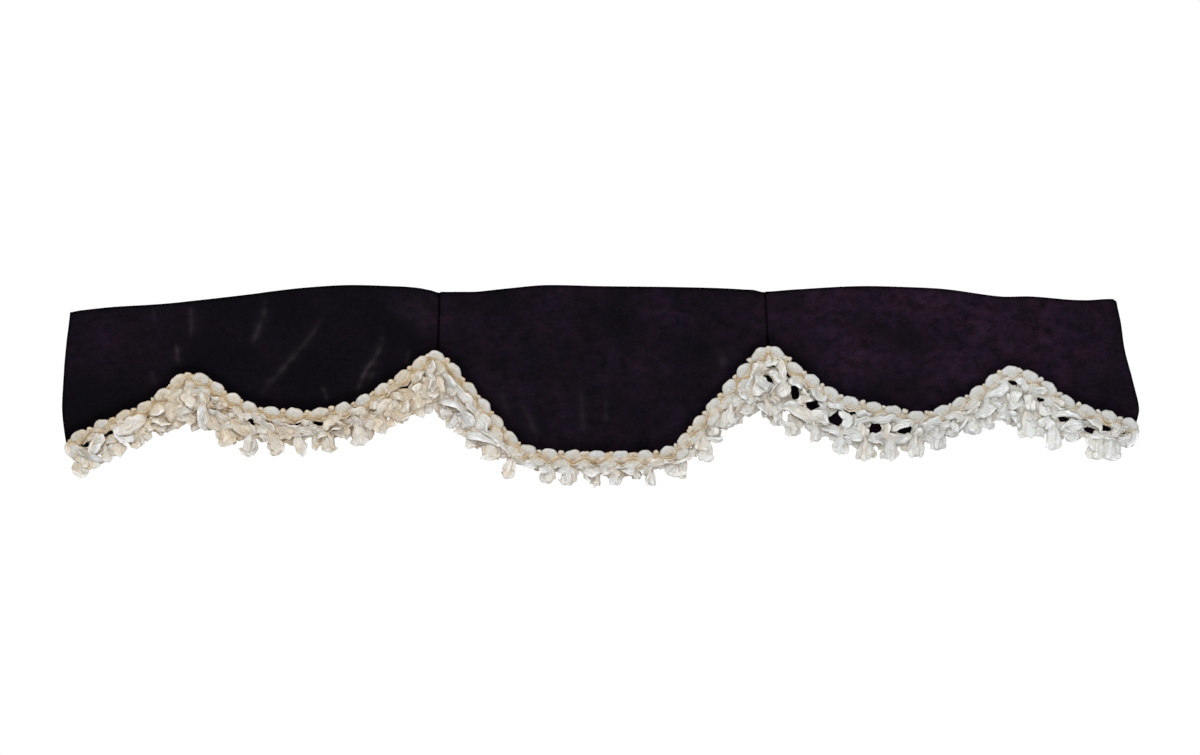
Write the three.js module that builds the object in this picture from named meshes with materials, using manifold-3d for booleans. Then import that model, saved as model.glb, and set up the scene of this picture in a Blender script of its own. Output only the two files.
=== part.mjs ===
// Windscreen curtain for a truck cab: three plush panels sewn edge to edge, with a scalloped lower
// edge and one length of tassel fringe sewn along it.
// Millimetres, +Z up, the curtain hangs in the XZ plane with its face towards -Y.
// Origin: middle of the top edge.

import * as THREE from 'three';
import { mergeVertices } from 'three/addons/utils/BufferGeometryUtils.js';
import Module from 'manifold-3d';

const wasm = await Module();
wasm.setup();

// ------------------------------------------------------------------ driving sizes
const CLOTH = 2.4;            // plush: ground cloth and pile together
const HEM = 4.8;              // doubled cloth of a hem turned to the back
const HEM_TOP = 28;           // depth of the hem along the top
const HEM_SIDE = 20;          // depth of the hem down an outer side
const HEM_STEP = 4;           // run over which a hem thins back to one cloth
const SEAM_TURN = 14;         // how far a joined edge turns to the back
const SEAM_ROUND = 3.2;       // radius of that turn, at the middle of the cloth
const SEAM_GAP = 0.5;         // between the two turned edges of a seam
const COLUMN = 30;            // spacing of a panel's sections across
const ROWS_SHOWN = 5;         // rows of a panel from its hem down to the fringe
const ROWS_HIDDEN = 2;        // rows behind the fringe
const FLAT_ABOVE = 4;         // the cloth lies flat from this height above the crowns
const FOLD_FADE = 26;         // and its folds die out over this height above that
const WAVE_REST = 6;          // stand-off that counts as zero, so the origin lies in the cloth

const FRINGE_GAP = 1.0;       // from the cloth's face to the fringe's back
const LOBES = 56;             // round lobes of the fringe heading
const LOBE_DIP = 9;           // depth of the dip between two lobes
const LOBE_FLAT = 0.27;       // half width of a lobe's crown, in pitches
const HEADING = 24;           // height of the heading below the crowns
const HEADING_DEEP = 14;      // front to back
const NET_DEEP = 10;          // front to back
const HANG_TURN = 0.35;       // share of the edge's slope that the net follows
const TUFT_NECK = 0.46;       // neck of a tuft, in widths of its cut end
const TUFT_DEEP = 0.62;       // front to back of a tuft, in widths
const TUFT_MIN_DEEP = 9;
const TUFT_ROOT = 12;         // how far a tuft starts inside the net
const TUFT_SHORT = 30;        // a tuft up to this long opens out evenly
const TUFT_SIDES = 5;
const GAP_SIDES = 6;
const LENGTH_GAP = 0.5;       // between two neighbouring lengths of the fringe

// ------------------------------------------------------------------ tables
const table = (columns, rows) =>
  rows.map((row) => Object.fromEntries(columns.map((name, i) => [name, row[i]])));

// Top edge: it dips where a seam draws it in and falls away to the ends.
const TOP_EDGE = table(['x', 'z'], [
  [-1060, -50], [-1034, -49], [-957, -41], [-860, -35], [-782, -27], [-684, -16], [-587, -4],
  [-499, 2], [-411, 0], [-353, -4], [-314, -14], [-255, -12], [-177, -4], [-109, 2], [-2, 0],
  [154, -2], [271, -6], [322, -12], [388, -6], [505, 0], [603, -2], [671, -6], [778, -20],
  [837, -20], [924, -27], [1004, -27], [1060, -27],
]);

// Outer sides and seams, from the top down.
const SIDE_LEFT = table(['z', 'x'], [
  [-378, -1028], [-330, -1035], [-294, -1043], [-238, -1049], [-191, -1047], [-121, -1041],
  [-51, -1034], [10, -1033],
]);
const SIDE_RIGHT = table(['z', 'x'], [
  [-339, 1024], [-302, 1032], [-263, 1043], [-238, 1047], [-191, 1037], [-121, 1018],
  [-74, 1012], [-27, 1004], [10, 1000],
]);
const SEAM_LEFT = table(['z', 'x'], [[-222, -321], [-121, -318], [-14, -315], [10, -314]]);
const SEAM_RIGHT = table(['z', 'x'], [[-222, 332], [-113, 326], [-12, 320], [10, 319]]);

// Line of the fringe's crowns: four peaks, three bellies and two ends.
const SCALLOP = table(['x', 'z'], [
  [-1055, -300], [-1016, -279], [-973, -259], [-928, -241], [-889, -223], [-854, -197],
  [-821, -167], [-801, -163], [-784, -166], [-749, -185], [-716, -207], [-684, -224],
  [-640, -234], [-577, -238], [-501, -227], [-462, -211], [-427, -187], [-388, -163],
  [-353, -136], [-320, -125], [-285, -148], [-255, -185], [-228, -216], [-176, -280],
  [-142, -308], [-101, -316], [-8, -319], [86, -319], [129, -311], [160, -285], [218, -216],
  [277, -148], [308, -118], [326, -113], [343, -117], [378, -146], [447, -195], [486, -213],
  [569, -232], [614, -242], [663, -231], [731, -195], [762, -170], [796, -155], [835, -164],
  [872, -185], [909, -213], [948, -231], [989, -242], [1055, -267],
]);

// How far the cloth goes on behind the fringe.
const HIDDEN = table(['x', 'drop'], [
  [-1055, 32], [-1010, 44], [-811, 47], [-587, 47], [-328, 47], [-236, 43], [-2, 39], [174, 43],
  [285, 78], [326, 91], [378, 82], [410, 80], [466, 76], [544, 68], [593, 58], [681, 51],
  [798, 56], [900, 66], [954, 60], [1020, 46], [1055, 34],
]);

// Broad waves of the hanging cloth: how far it stands forward at its top and at its foot.
const WAVES = table(['x', 'top', 'foot'], [
  [-1051, 2, 4], [-879, 6, 9], [-801, 3, 5], [-645, 9, 12], [-509, 5, 8], [-402, 9, 10],
  [-316, 1, 3], [-197, 7, 9], [-80, 4, 12], [-2, 6, 9], [115, 4, 12], [232, 8, 8], [324, 1, 3],
  [466, 7, 10], [583, 4, 12], [700, 9, 9], [798, 4, 6], [895, 8, 11], [1051, 2, 3],
]);

// Folds: ridges (rise above 0) and troughs (below 0) between two points of the face.
const FOLDS = table(['x0', 'z0', 'x1', 'z1', 'half', 'rise'], [
  [-874, -43, -866, -74, 16, 2.0], [-800, -37, -800, -101, 15, 4.0],
  [-827, -111, -821, -160, 15, 3.5], [-649, -16, -681, -117, 18, 5.0],
  [-532, -51, -669, -218, 20, 7.0], [-423, -62, -439, -136, 18, 6.0],
  [-439, -136, -474, -211, 18, 5.5], [-374, -125, -382, -156, 14, 2.5],
  [-544, -193, -532, -226, 14, 2.5], [-392, -27, -322, -98, 26, 4.0],
  [-154, -226, -121, -306, 18, 4.0], [-109, -261, -80, -312, 16, -3.0],
  [-39, -195, -29, -312, 18, 4.5], [232, -115, 244, -168, 20, 3.0],
  [92, -281, 138, -304, 16, -2.5], [486, -66, 651, -121, 30, -3.5],
  [821, -23, 825, -109, 24, -3.5], [528, -168, 544, -218, 26, -3.0],
  [749, -51, 762, -121, 28, 3.0],
]);

// Where some of the heading's lobes lie; the others share the edge's length between them.
const LOBE_MARKS = table(['index', 'x'], [
  [0, -1016], [5, -821], [12, -546], [18, -320], [25, -101], [29, 86], [36, 308], [37, 343],
  [44, 614], [49, 796], [55, 1030],
]);

// Depth of heading and net below the crowns.
const NET = table(['x', 'depth'], [
  [-1055, 36], [-1032, 42], [-1006, 52], [-977, 58], [-922, 60], [-870, 74], [-815, 98],
  [-762, 98], [-704, 82], [-661, 68], [-603, 72], [-507, 66], [-441, 86], [-372, 98],
  [-328, 101], [-291, 107], [-236, 92], [-191, 64], [-142, 45], [-41, 41], [57, 51], [115, 45],
  [174, 55], [232, 70], [271, 92], [310, 129], [353, 129], [398, 113], [439, 98], [495, 92],
  [540, 88], [589, 74], [632, 70], [681, 70], [704, 60], [749, 90], [778, 99], [801, 111],
  [860, 103], [895, 92], [938, 70], [993, 64], [1022, 58], [1037, 42], [1055, 36],
]);

// Tufts: neck, how far the cut end swings aside and drops from it, width of the cut end.
const TUFTS = table(['x', 'z', 'swing', 'drop', 'width'], [
  [-1016, -324, 0, 45, 27], [-993, -320, 4, 37, 23], [-969, -308, -2, 39, 27],
  [-950, -300, 8, 35, 27], [-895, -283, -6, 35, 20], [-879, -269, -2, 27, 23],
  [-854, -257, 0, 27, 27], [-807, -238, 0, 27, 31], [-770, -250, 0, 29, 27],
  [-731, -269, 4, 43, 39], [-681, -287, -2, 43, 29], [-642, -287, 18, 41, 33],
  [-591, -283, 20, 45, 29], [-556, -289, 4, 31, 20], [-532, -287, 6, 37, 33],
  [-497, -275, 2, 23, 23], [-474, -267, 4, 47, 37], [-447, -259, 0, 23, 23],
  [-427, -252, 2, 37, 23], [-386, -226, 0, 31, 29], [-359, -214, 2, 27, 27],
  [-330, -205, 2, 23, 27], [-306, -220, 4, 35, 23], [-275, -240, -6, 39, 23],
  [-254, -283, 0, 37, 27], [-216, -292, 0, 49, 35], [-172, -330, -6, 49, 18],
  [-103, -345, -2, 43, 35], [-60, -349, 0, 43, 29], [-29, -351, 4, 29, 20],
  [-8, -353, 2, 39, 21], [21, -357, 10, 33, 27], [72, -353, 0, 27, 18], [90, -349, 2, 45, 20],
  [146, -343, -16, 27, 21], [138, -367, 31, 2, 12], [201, -296, -6, 47, 31],
  [199, -294, 41, 12, 12], [252, -236, 2, 39, 33], [294, -222, -4, 25, 27],
  [322, -226, 0, 27, 27], [341, -236, 4, 37, 21], [370, -257, 10, 37, 27],
  [415, -267, 2, 39, 25], [468, -287, 2, 43, 33], [517, -300, -2, 41, 29],
  [564, -296, 0, 45, 37], [612, -292, 0, 43, 39], [653, -281, 0, 41, 37],
  [684, -267, 2, 25, 21], [712, -259, 2, 25, 23], [735, -259, 4, 33, 18], [755, -244, 0, 27, 20],
  [784, -238, -2, 23, 27], [829, -248, 2, 49, 47], [878, -275, -2, 45, 33],
  [915, -267, 2, 35, 35], [969, -289, 0, 53, 39], [1004, -298, 0, 41, 23],
  [1026, -291, 2, 23, 25],
]);

// Largest gaps of the net: middle, size and tilt in degrees.
const GAPS = table(['x', 'z', 'wide', 'high', 'tilt'], [
  [-1000, -312, 20, 10, 0], [-957, -287, 20, 8, 8], [-681, -263, 12, 8, -20],
  [-595, -267, 16, 7, -5], [-548, -266, 16, 10, 12], [-382, -193, 23, 7, 42],
  [330, -183, 35, 8, -28], [378, -207, 14, 27, 20], [410, -234, 27, 16, 5],
  [458, -257, 29, 25, 0], [484, -244, 20, 8, -10], [534, -277, 25, 18, 20],
  [591, -281, 27, 12, 15], [803, -189, 18, 10, -40], [899, -259, 20, 12, 8],
  [954, -281, 31, 9, -15], [985, -277, 14, 12, -10], [1022, -289, 20, 7, 10],
  [363, -255, 20, 20, 0],
]);

// The fringe is one length of trim. It is cut here near each peak and belly of the edge, clear of
// the tufts, so that every length runs nearly straight.
const CUTS = table(['x'], [
  [-787], [-603], [-316], [-140], [110], [308], [633], [801],
]);

// ------------------------------------------------------------------ smooth functions of the tables
// Cubic through the rows of a table, flat past its ends.
function smooth(rows, from, to) {
  const t = rows.map((r) => r[from]);
  const p = rows.map((r) => r[to]);
  const last = t.length - 1;
  const slope = p.map((_, i) => {
    const a = Math.max(0, i - 1);
    const b = Math.min(last, i + 1);
    return (p[b] - p[a]) / (t[b] - t[a]);
  });
  return (at) => {
    if (at <= t[0]) return p[0];
    if (at >= t[last]) return p[last];
    let i = 0;
    while (at > t[i + 1]) i += 1;
    const run = t[i + 1] - t[i];
    const u = (at - t[i]) / run;
    const v = 1 - u;
    return p[i] * v * v * (1 + 2 * u) + slope[i] * run * u * v * v
      + p[i + 1] * u * u * (3 - 2 * u) - slope[i + 1] * run * u * u * v;
  };
}

const topEdge = smooth(TOP_EDGE, 'x', 'z');
const scallop = smooth(SCALLOP, 'x', 'z');
const hidden = smooth(HIDDEN, 'x', 'drop');
const waveTop = smooth(WAVES, 'x', 'top');
const waveFoot = smooth(WAVES, 'x', 'foot');
const netDepth = smooth(NET, 'x', 'depth');
const sideLeft = smooth(SIDE_LEFT, 'z', 'x');
const sideRight = smooth(SIDE_RIGHT, 'z', 'x');
const seamLeft = smooth(SEAM_LEFT, 'z', 'x');
const seamRight = smooth(SEAM_RIGHT, 'z', 'x');
const cutEdge = (x) => scallop(x) - hidden(x);
const ramp = (t) => { const u = Math.min(1, Math.max(0, t)); return u * u * (3 - 2 * u); };

// One fold's height at a point of the face: a soft ridge along its line, dying out at both ends.
function foldAt(fold, x, z) {
  const dx = fold.x1 - fold.x0;
  const dz = fold.z1 - fold.z0;
  const long = Math.hypot(dx, dz);
  const along = ((x - fold.x0) * dx + (z - fold.z0) * dz) / long;
  const off = ((x - fold.x0) * dz - (z - fold.z0) * dx) / long;
  const past = Math.max(0, -along, along - long);
  return fold.rise * Math.exp(-((off * off + past * past) / (fold.half * fold.half)));
}

// Middle of the cloth at a point of the face.
function clothY(x, z) {
  const down = ramp((topEdge(x) - z) / (topEdge(x) - cutEdge(x)));
  let forward = waveTop(x) * (1 - down) + waveFoot(x) * down;
  const free = ramp((z - scallop(x) - FLAT_ABOVE) / FOLD_FADE);
  if (free > 0) for (const fold of FOLDS) forward += free * foldAt(fold, x, z);
  return WAVE_REST - forward;
}

// ------------------------------------------------------------------ solids
function solidOf(geometry) {
  const bare = geometry.clone();
  bare.deleteAttribute('normal');
  bare.deleteAttribute('uv');
  const merged = mergeVertices(bare, 1e-4);
  return new wasm.Manifold(new wasm.Mesh({
    numProp: 3,
    vertProperties: new Float32Array(merged.attributes.position.array),
    triVerts: new Uint32Array(merged.index.array),
  }));
}

function geometryOf(points, triangles) {
  const geometry = new THREE.BufferGeometry();
  geometry.setAttribute('position', new THREE.Float32BufferAttribute(points, 3));
  geometry.setIndex(triangles);
  geometry.computeVertexNormals();
  return geometry;
}

// A sheet between two side lines. Each end of its section is a hem or a seam turned to the back.
function panel(leftLine, rightLine, leftEnd, rightEnd) {
  const inset = SEAM_GAP / 2 + CLOTH / 2 + SEAM_ROUND;
  const wide = rightLine(-100) - leftLine(-100);
  const left = leftEnd === 'seam' ? inset : 0;
  const right = rightEnd === 'seam' ? inset : 0;

  // Section columns: distance in from one side, turn to the back and thickness.
  const columns = [];
  const turned = (side) => [
    { side, turn: 90, back: SEAM_TURN }, { side, turn: 90, back: SEAM_ROUND },
    { side, turn: 45, back: SEAM_ROUND * (1 - Math.SQRT1_2) },
  ];
  if (leftEnd === 'seam') columns.push(...turned('left'));
  const stops = [0];
  if (leftEnd === 'hem') stops.push(HEM_SIDE / wide, (HEM_SIDE + HEM_STEP) / wide);
  const first = stops[stops.length - 1];
  const last = rightEnd === 'hem' ? 1 - (HEM_SIDE + HEM_STEP) / wide : 1;
  const count = Math.round(((last - first) * wide) / COLUMN);
  for (let i = 1; i <= count; i += 1) stops.push(first + ((last - first) * i) / count);
  if (rightEnd === 'hem') stops.push(1 - HEM_SIDE / wide, 1);
  stops.forEach((share) => {
    const hemmed = (leftEnd === 'hem' && share * wide < HEM_SIDE + 0.1)
      || (rightEnd === 'hem' && (1 - share) * wide < HEM_SIDE + 0.1);
    const atSeam = (leftEnd === 'seam' && share === 0) || (rightEnd === 'seam' && share === 1);
    columns.push({ share, hemmed, atSeam });
  });
  if (rightEnd === 'seam') columns.push(...turned('right').reverse());

  const fronts = [];
  const backs = [];
  for (let row = 0; row <= 2 + ROWS_SHOWN + ROWS_HIDDEN; row += 1) {
    const frontRow = [];
    const backRow = [];
    for (const column of columns) {
      const share = column.share ?? (column.side === 'left' ? 0 : 1);
      // The side lines depend on the height and the height on the place across, so settle both.
      let x = leftLine(-100) + share * wide;
      let z = 0;
      for (let pass = 0; pass < 12; pass += 1) {
        const top = topEdge(x);
        const body = top - HEM_TOP - HEM_STEP;
        const flat = scallop(x) + FLAT_ABOVE;
        if (row === 0) z = top;
        else if (row === 1) z = top - HEM_TOP;
        else if (row <= 2 + ROWS_SHOWN) z = body + (flat - body) * ((row - 2) / ROWS_SHOWN);
        else z = flat + (cutEdge(x) - flat) * ((row - 2 - ROWS_SHOWN) / ROWS_HIDDEN);
        const a = leftLine(z) + left;
        const b = rightLine(z) - right;
        x = a + (b - a) * share;
      }
      const y = clothY(x, z);
      if (column.side) {
        const way = column.side === 'left' ? -1 : 1;
        const angle = THREE.MathUtils.degToRad(column.turn);
        const cx = x + way * SEAM_ROUND * Math.sin(angle);
        const cy = y + column.back;
        const nx = way * Math.sin(angle) * (CLOTH / 2);
        const ny = -Math.cos(angle) * (CLOTH / 2);
        frontRow.push([cx + nx, cy + ny, z]);
        backRow.push([cx - nx, cy - ny, z]);
      } else {
        const thick = !column.atSeam && (row < 2 || column.hemmed) ? HEM : CLOTH;
        frontRow.push([x, y - CLOTH / 2, z]);
        backRow.push([x, y - CLOTH / 2 + thick, z]);
      }
    }
    fronts.push(frontRow);
    backs.push(backRow);
  }

  const rows = fronts.length;
  const across = columns.length;
  const points = [...fronts.flat(), ...backs.flat()].flat();
  const F = (j, i) => j * across + i;
  const B = (j, i) => rows * across + j * across + i;
  const triangles = [];
  const quad = (a, b, c, d) => triangles.push(a, b, c, a, c, d);
  for (let j = 0; j < rows - 1; j += 1) {
    for (let i = 0; i < across - 1; i += 1) {
      quad(F(j, i), F(j + 1, i), F(j + 1, i + 1), F(j, i + 1));
      quad(B(j, i), B(j, i + 1), B(j + 1, i + 1), B(j + 1, i));
    }
    quad(F(j, 0), B(j, 0), B(j + 1, 0), F(j + 1, 0));
    quad(F(j, across - 1), F(j + 1, across - 1), B(j + 1, across - 1), B(j, across - 1));
  }
  for (let i = 0; i < across - 1; i += 1) {
    quad(F(0, i), F(0, i + 1), B(0, i + 1), B(0, i));
    quad(F(rows - 1, i), B(rows - 1, i), B(rows - 1, i + 1), F(rows - 1, i + 1));
  }
  return geometryOf(points, triangles);
}

// Closed loft through rings of equal size, with flat ends.
function loft(rings) {
  const size = rings[0].length;
  const points = rings.flat().flat();
  const triangles = [];
  for (let k = 0; k < rings.length - 1; k += 1) {
    for (let i = 0; i < size; i += 1) {
      const a = k * size + i;
      const b = k * size + ((i + 1) % size);
      triangles.push(a, b + size, b, a, a + size, b + size);
    }
  }
  const end = (rings.length - 1) * size;
  for (let i = 1; i < size - 1; i += 1) {
    triangles.push(0, i, i + 1);
    triangles.push(end, end + i + 1, end + i);
  }
  return geometryOf(points, triangles);
}

// Back of the fringe at a point of the face.
const fringeBack = (x, z) => clothY(x, z) - CLOTH / 2 - FRINGE_GAP;

// Place on the face, a given way down from the crowns; the net hangs between upright and square on.
function below(x, down) {
  const reach = 40;
  const slope = (scallop(x + reach) - scallop(x - reach)) / (2 * reach);
  const lean = HANG_TURN * Math.atan(slope);
  return [x + down * Math.sin(lean), scallop(x) - down * Math.cos(lean)];
}

// Lobe middles: the marked ones lie where the table says, the rest share the edge's length.
function lobeMiddles() {
  const step = 2;
  const middles = [];
  for (let m = 0; m < LOBE_MARKS.length - 1; m += 1) {
    const from = LOBE_MARKS[m];
    const to = LOBE_MARKS[m + 1];
    const xs = [];
    const lengths = [];
    let run = 0;
    for (let x = from.x; x <= to.x; x += step) {
      if (xs.length) run += Math.hypot(step, scallop(x) - scallop(x - step));
      xs.push(x);
      lengths.push(run);
    }
    const many = to.index - from.index;
    for (let i = 0; i < many; i += 1) {
      const want = (run * i) / many;
      middles.push(xs[lengths.findIndex((l) => l >= want - 1e-6)]);
    }
  }
  middles.push(LOBE_MARKS[LOBE_MARKS.length - 1].x);
  return middles;
}

// Heading and net: one loft along the edge, its top edge rising and dipping with the lobes.
function headingAndNet() {
  const middles = lobeMiddles();
  const ends = [sideLeft(-300) + 4, sideRight(-266) - 2];
  const stations = [{ x: ends[0], dip: LOBE_DIP }];
  for (let i = 0; i < LOBES; i += 1) {
    const before = i ? (middles[i] + middles[i - 1]) / 2 : ends[0];
    const after = i < LOBES - 1 ? (middles[i] + middles[i + 1]) / 2 : ends[1];
    const flat = LOBE_FLAT * (after - before);
    stations.push({ x: middles[i] - flat, dip: 0.6 }, { x: middles[i] + flat, dip: 0.6 });
    stations.push({ x: after, dip: LOBE_DIP });
  }
  const rings = stations.map(({ x, dip }) => {
    const net = netDepth(x);
    const heading = Math.min(HEADING, 0.8 * net);
    return [
      [dip + 1.5, 0], [net, 0], [net, NET_DEEP], [heading, 0.85 * HEADING_DEEP],
      [dip + 5, HEADING_DEEP], [dip, 0.45 * HEADING_DEEP],
    ].map(([down, forward]) => {
      const [px, pz] = below(x, down);
      return [px, fringeBack(px, pz) - forward, pz];
    });
  });
  return loft(rings);
}

// One tuft: a soft neck hanging from the net that opens out to a flared, cut end.
function tuft(row) {
  const long = Math.hypot(row.swing, row.drop);
  const ax = row.swing / long;
  const az = -row.drop / long;
  const deep = Math.max(TUFT_MIN_DEEP, TUFT_DEEP * row.width);
  const sections = table(['at', 'wide', 'deep'], [
    [-TUFT_ROOT, 0.7 * row.width, TUFT_MIN_DEEP], [0, TUFT_NECK * row.width, TUFT_MIN_DEEP],
    ...(long > TUFT_SHORT ? [[0.72 * long, row.width, deep]] : []),
    [long, 0.94 * row.width, 0.9 * deep],
  ]);
  const rings = sections.map((section) => {
    const cx = row.x + ax * section.at;
    const cz = row.z + az * section.at;
    const cy = fringeBack(cx, cz) - 0.4 - section.deep / 2;
    const ring = [];
    for (let i = 0; i < TUFT_SIDES; i += 1) {
      const angle = (2 * Math.PI * (i + 0.25)) / TUFT_SIDES;
      const w = ((section.wide / 2) * Math.cos(angle)) / Math.cos(Math.PI / (2 * TUFT_SIDES));
      ring.push([cx - az * w, cy + (section.deep / 2) * Math.sin(angle), cz + ax * w]);
    }
    return ring;
  });
  return loft(rings);
}

// Prism through the net, to cut one gap.
function gapPrism(row) {
  const outline = new THREE.Shape();
  for (let i = 0; i < GAP_SIDES; i += 1) {
    const angle = (2 * Math.PI * i) / GAP_SIDES;
    const px = (row.wide / 2) * Math.cos(angle);
    const pz = (row.high / 2) * (Math.sin(angle) / Math.sin(Math.PI / 3));
    if (i) outline.lineTo(px, pz); else outline.moveTo(px, pz);
  }
  outline.closePath();
  const prism = new THREE.ExtrudeGeometry(outline, { depth: 100, bevelEnabled: false });
  prism.translate(0, 0, -50);
  prism.rotateZ(THREE.MathUtils.degToRad(row.tilt));
  prism.rotateX(Math.PI / 2);
  prism.translate(row.x, 0, row.z);
  return prism;
}

function fringeLengths() {
  let whole = solidOf(headingAndNet());
  for (const row of TUFTS) whole = whole.add(solidOf(tuft(row)));
  for (const row of GAPS) whole = whole.subtract(solidOf(gapPrism(row)));
  const from = [-2000, ...CUTS.map((cut) => cut.x + LENGTH_GAP / 2)];
  const to = [...CUTS.map((cut) => cut.x - LENGTH_GAP / 2), 2000];
  return from.map((left, i) => {
    const mesh = whole.trimByPlane([1, 0, 0], left).trimByPlane([-1, 0, 0], -to[i]).getMesh();
    return geometryOf(Array.from(mesh.vertProperties), Array.from(mesh.triVerts));
  });
}

// ------------------------------------------------------------------ scene graph
const plush = () => new THREE.MeshStandardMaterial({ color: 0x1a141c, roughness: 0.9, metalness: 0 });
const cream = () => new THREE.MeshStandardMaterial({ color: 0xd2cabb, roughness: 0.85, metalness: 0 });

const curtain = new THREE.Group();
function place(name, geometry, material) {
  const mesh = new THREE.Mesh(geometry, material);
  mesh.name = name;
  curtain.add(mesh);
}

place('panel_left', panel(sideLeft, seamLeft, 'hem', 'seam'), plush());
place('panel_centre', panel(seamLeft, seamRight, 'seam', 'seam'), plush());
place('panel_right', panel(seamRight, sideRight, 'seam', 'hem'), plush());
fringeLengths().forEach((length, i) => place(`fringe_${i + 1}`, length, cream()));

export default curtain;
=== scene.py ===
"""Look of a truck cab's windscreen curtain: three plush panels and a cream tassel fringe.

Lengths in the tables are millimetres in the part's own frame: X across, -Y the way the face looks,
Z up, origin at the middle of the top edge. Meshes are made in metres.
"""

import math

import bmesh
import bpy
import numpy as np
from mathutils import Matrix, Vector


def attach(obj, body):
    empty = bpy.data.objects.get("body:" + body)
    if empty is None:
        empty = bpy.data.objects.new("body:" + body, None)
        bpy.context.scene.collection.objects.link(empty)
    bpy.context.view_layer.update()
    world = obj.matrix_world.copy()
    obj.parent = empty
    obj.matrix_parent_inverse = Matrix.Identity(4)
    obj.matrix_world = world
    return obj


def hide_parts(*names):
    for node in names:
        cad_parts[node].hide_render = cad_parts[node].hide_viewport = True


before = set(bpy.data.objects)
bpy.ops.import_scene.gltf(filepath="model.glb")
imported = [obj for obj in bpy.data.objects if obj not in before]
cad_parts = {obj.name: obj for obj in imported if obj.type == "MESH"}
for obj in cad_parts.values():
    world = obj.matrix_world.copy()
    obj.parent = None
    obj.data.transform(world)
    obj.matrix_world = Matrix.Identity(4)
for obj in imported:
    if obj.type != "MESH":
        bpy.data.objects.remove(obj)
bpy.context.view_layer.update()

MM = 0.001
rng = np.random.default_rng(20417)

# ------------------------------------------------------------------ sizes of the solids
CLOTH, HEM, HEM_TOP, HEM_SIDE = 2.4, 4.8, 28.0, 20.0
SEAM_TURN, SEAM_ROUND, SEAM_GAP = 14.0, 3.2, 0.5
FLAT_ABOVE, FOLD_FADE, WAVE_REST = 4.0, 26.0, 6.0
FRINGE_GAP, HANG_TURN, LOBES = 1.0, 0.35, 56

# Top edge (x, z), outer sides and seams (z, x), line of the fringe's crowns (x, z).
TOP_EDGE = [
    (-1060, -50), (-1034, -49), (-957, -41), (-860, -35), (-782, -27), (-684, -16), (-587, -4),
    (-499, 2), (-411, 0), (-353, -4), (-314, -14), (-255, -12), (-177, -4), (-109, 2), (-2, 0),
    (154, -2), (271, -6), (322, -12), (388, -6), (505, 0), (603, -2), (671, -6), (778, -20),
    (837, -20), (924, -27), (1004, -27), (1060, -27),
]
SIDE_LEFT = [
    (-378, -1031), (-330, -1038), (-294, -1046), (-238, -1052), (-191, -1050), (-121, -1045),
    (-51, -1036.5), (10, -1034),
]
SIDE_RIGHT = [
    (-339, 1027), (-302, 1035), (-263, 1046), (-238, 1050.5), (-191, 1039.5), (-121, 1021.5),
    (-74, 1015), (-27, 1005.5), (10, 1001),
]
SEAM_LEFT = [(-222, -321), (-121, -318), (-14, -315), (10, -314)]
SEAM_RIGHT = [(-222, 332), (-113, 326), (-12, 320), (10, 319)]
SCALLOP = [
    (-1055, -300), (-1016, -279), (-973, -259), (-928, -241), (-889, -223), (-854, -197),
    (-821, -167), (-801, -163), (-784, -166), (-749, -185), (-716, -207), (-684, -224),
    (-640, -234), (-577, -238), (-501, -227), (-462, -211), (-427, -187), (-388, -163),
    (-353, -136), (-320, -125), (-285, -148), (-255, -185), (-228, -216), (-176, -280),
    (-142, -308), (-101, -316), (-8, -319), (86, -319), (129, -311), (160, -285), (218, -216),
    (277, -148), (308, -118), (326, -113), (343, -117), (378, -146), (447, -195), (486, -213),
    (569, -232), (614, -242), (663, -231), (731, -195), (762, -170), (796, -155), (835, -164),
    (872, -185), (909, -213), (948, -231), (989, -242), (1055, -267),
]
# How far the cloth goes on behind the fringe (x, drop).
HIDDEN = [
    (-1055, 32), (-1010, 44), (-811, 47), (-587, 47), (-328, 47), (-236, 43), (-2, 39), (174, 43),
    (285, 78), (326, 91), (378, 82), (410, 80), (466, 76), (544, 68), (593, 58), (681, 51),
    (798, 56), (900, 66), (954, 60), (1020, 46), (1055, 34),
]
# Broad waves (x, forward at the top, forward at the foot).
WAVES = [
    (-1051, 2, 4), (-879, 6, 9), (-801, 3, 5), (-645, 9, 12), (-509, 5, 8), (-402, 9, 10),
    (-316, 1, 3), (-197, 7, 9), (-80, 4, 12), (-2, 6, 9), (115, 4, 12), (232, 8, 8), (324, 1, 3),
    (466, 7, 10), (583, 4, 12), (700, 9, 9), (798, 4, 6), (895, 8, 11), (1051, 2, 3),
]
# Main folds (x0, z0, x1, z1, half width, rise).
FOLDS = [
    (-874, -43, -866, -74, 16, 2.0), (-800, -37, -800, -101, 15, 4.0),
    (-827, -111, -821, -160, 15, 3.5), (-649, -16, -681, -117, 18, 5.0),
    (-532, -51, -669, -218, 20, 7.0), (-423, -62, -439, -136, 18, 6.0),
    (-439, -136, -474, -211, 18, 5.5), (-374, -125, -382, -156, 14, 2.5),
    (-544, -193, -532, -226, 14, 2.5), (-392, -27, -322, -98, 26, 4.0),
    (-154, -226, -121, -306, 18, 4.0), (-109, -261, -80, -312, 16, -3.0),
    (-39, -195, -29, -312, 18, 4.5), (232, -115, 244, -168, 20, 3.0),
    (92, -281, 138, -304, 16, -2.5), (486, -66, 651, -121, 30, -3.5),
    (821, -23, 825, -109, 24, -3.5), (528, -168, 544, -218, 26, -3.0),
    (749, -51, 762, -121, 28, 3.0),
]
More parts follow.
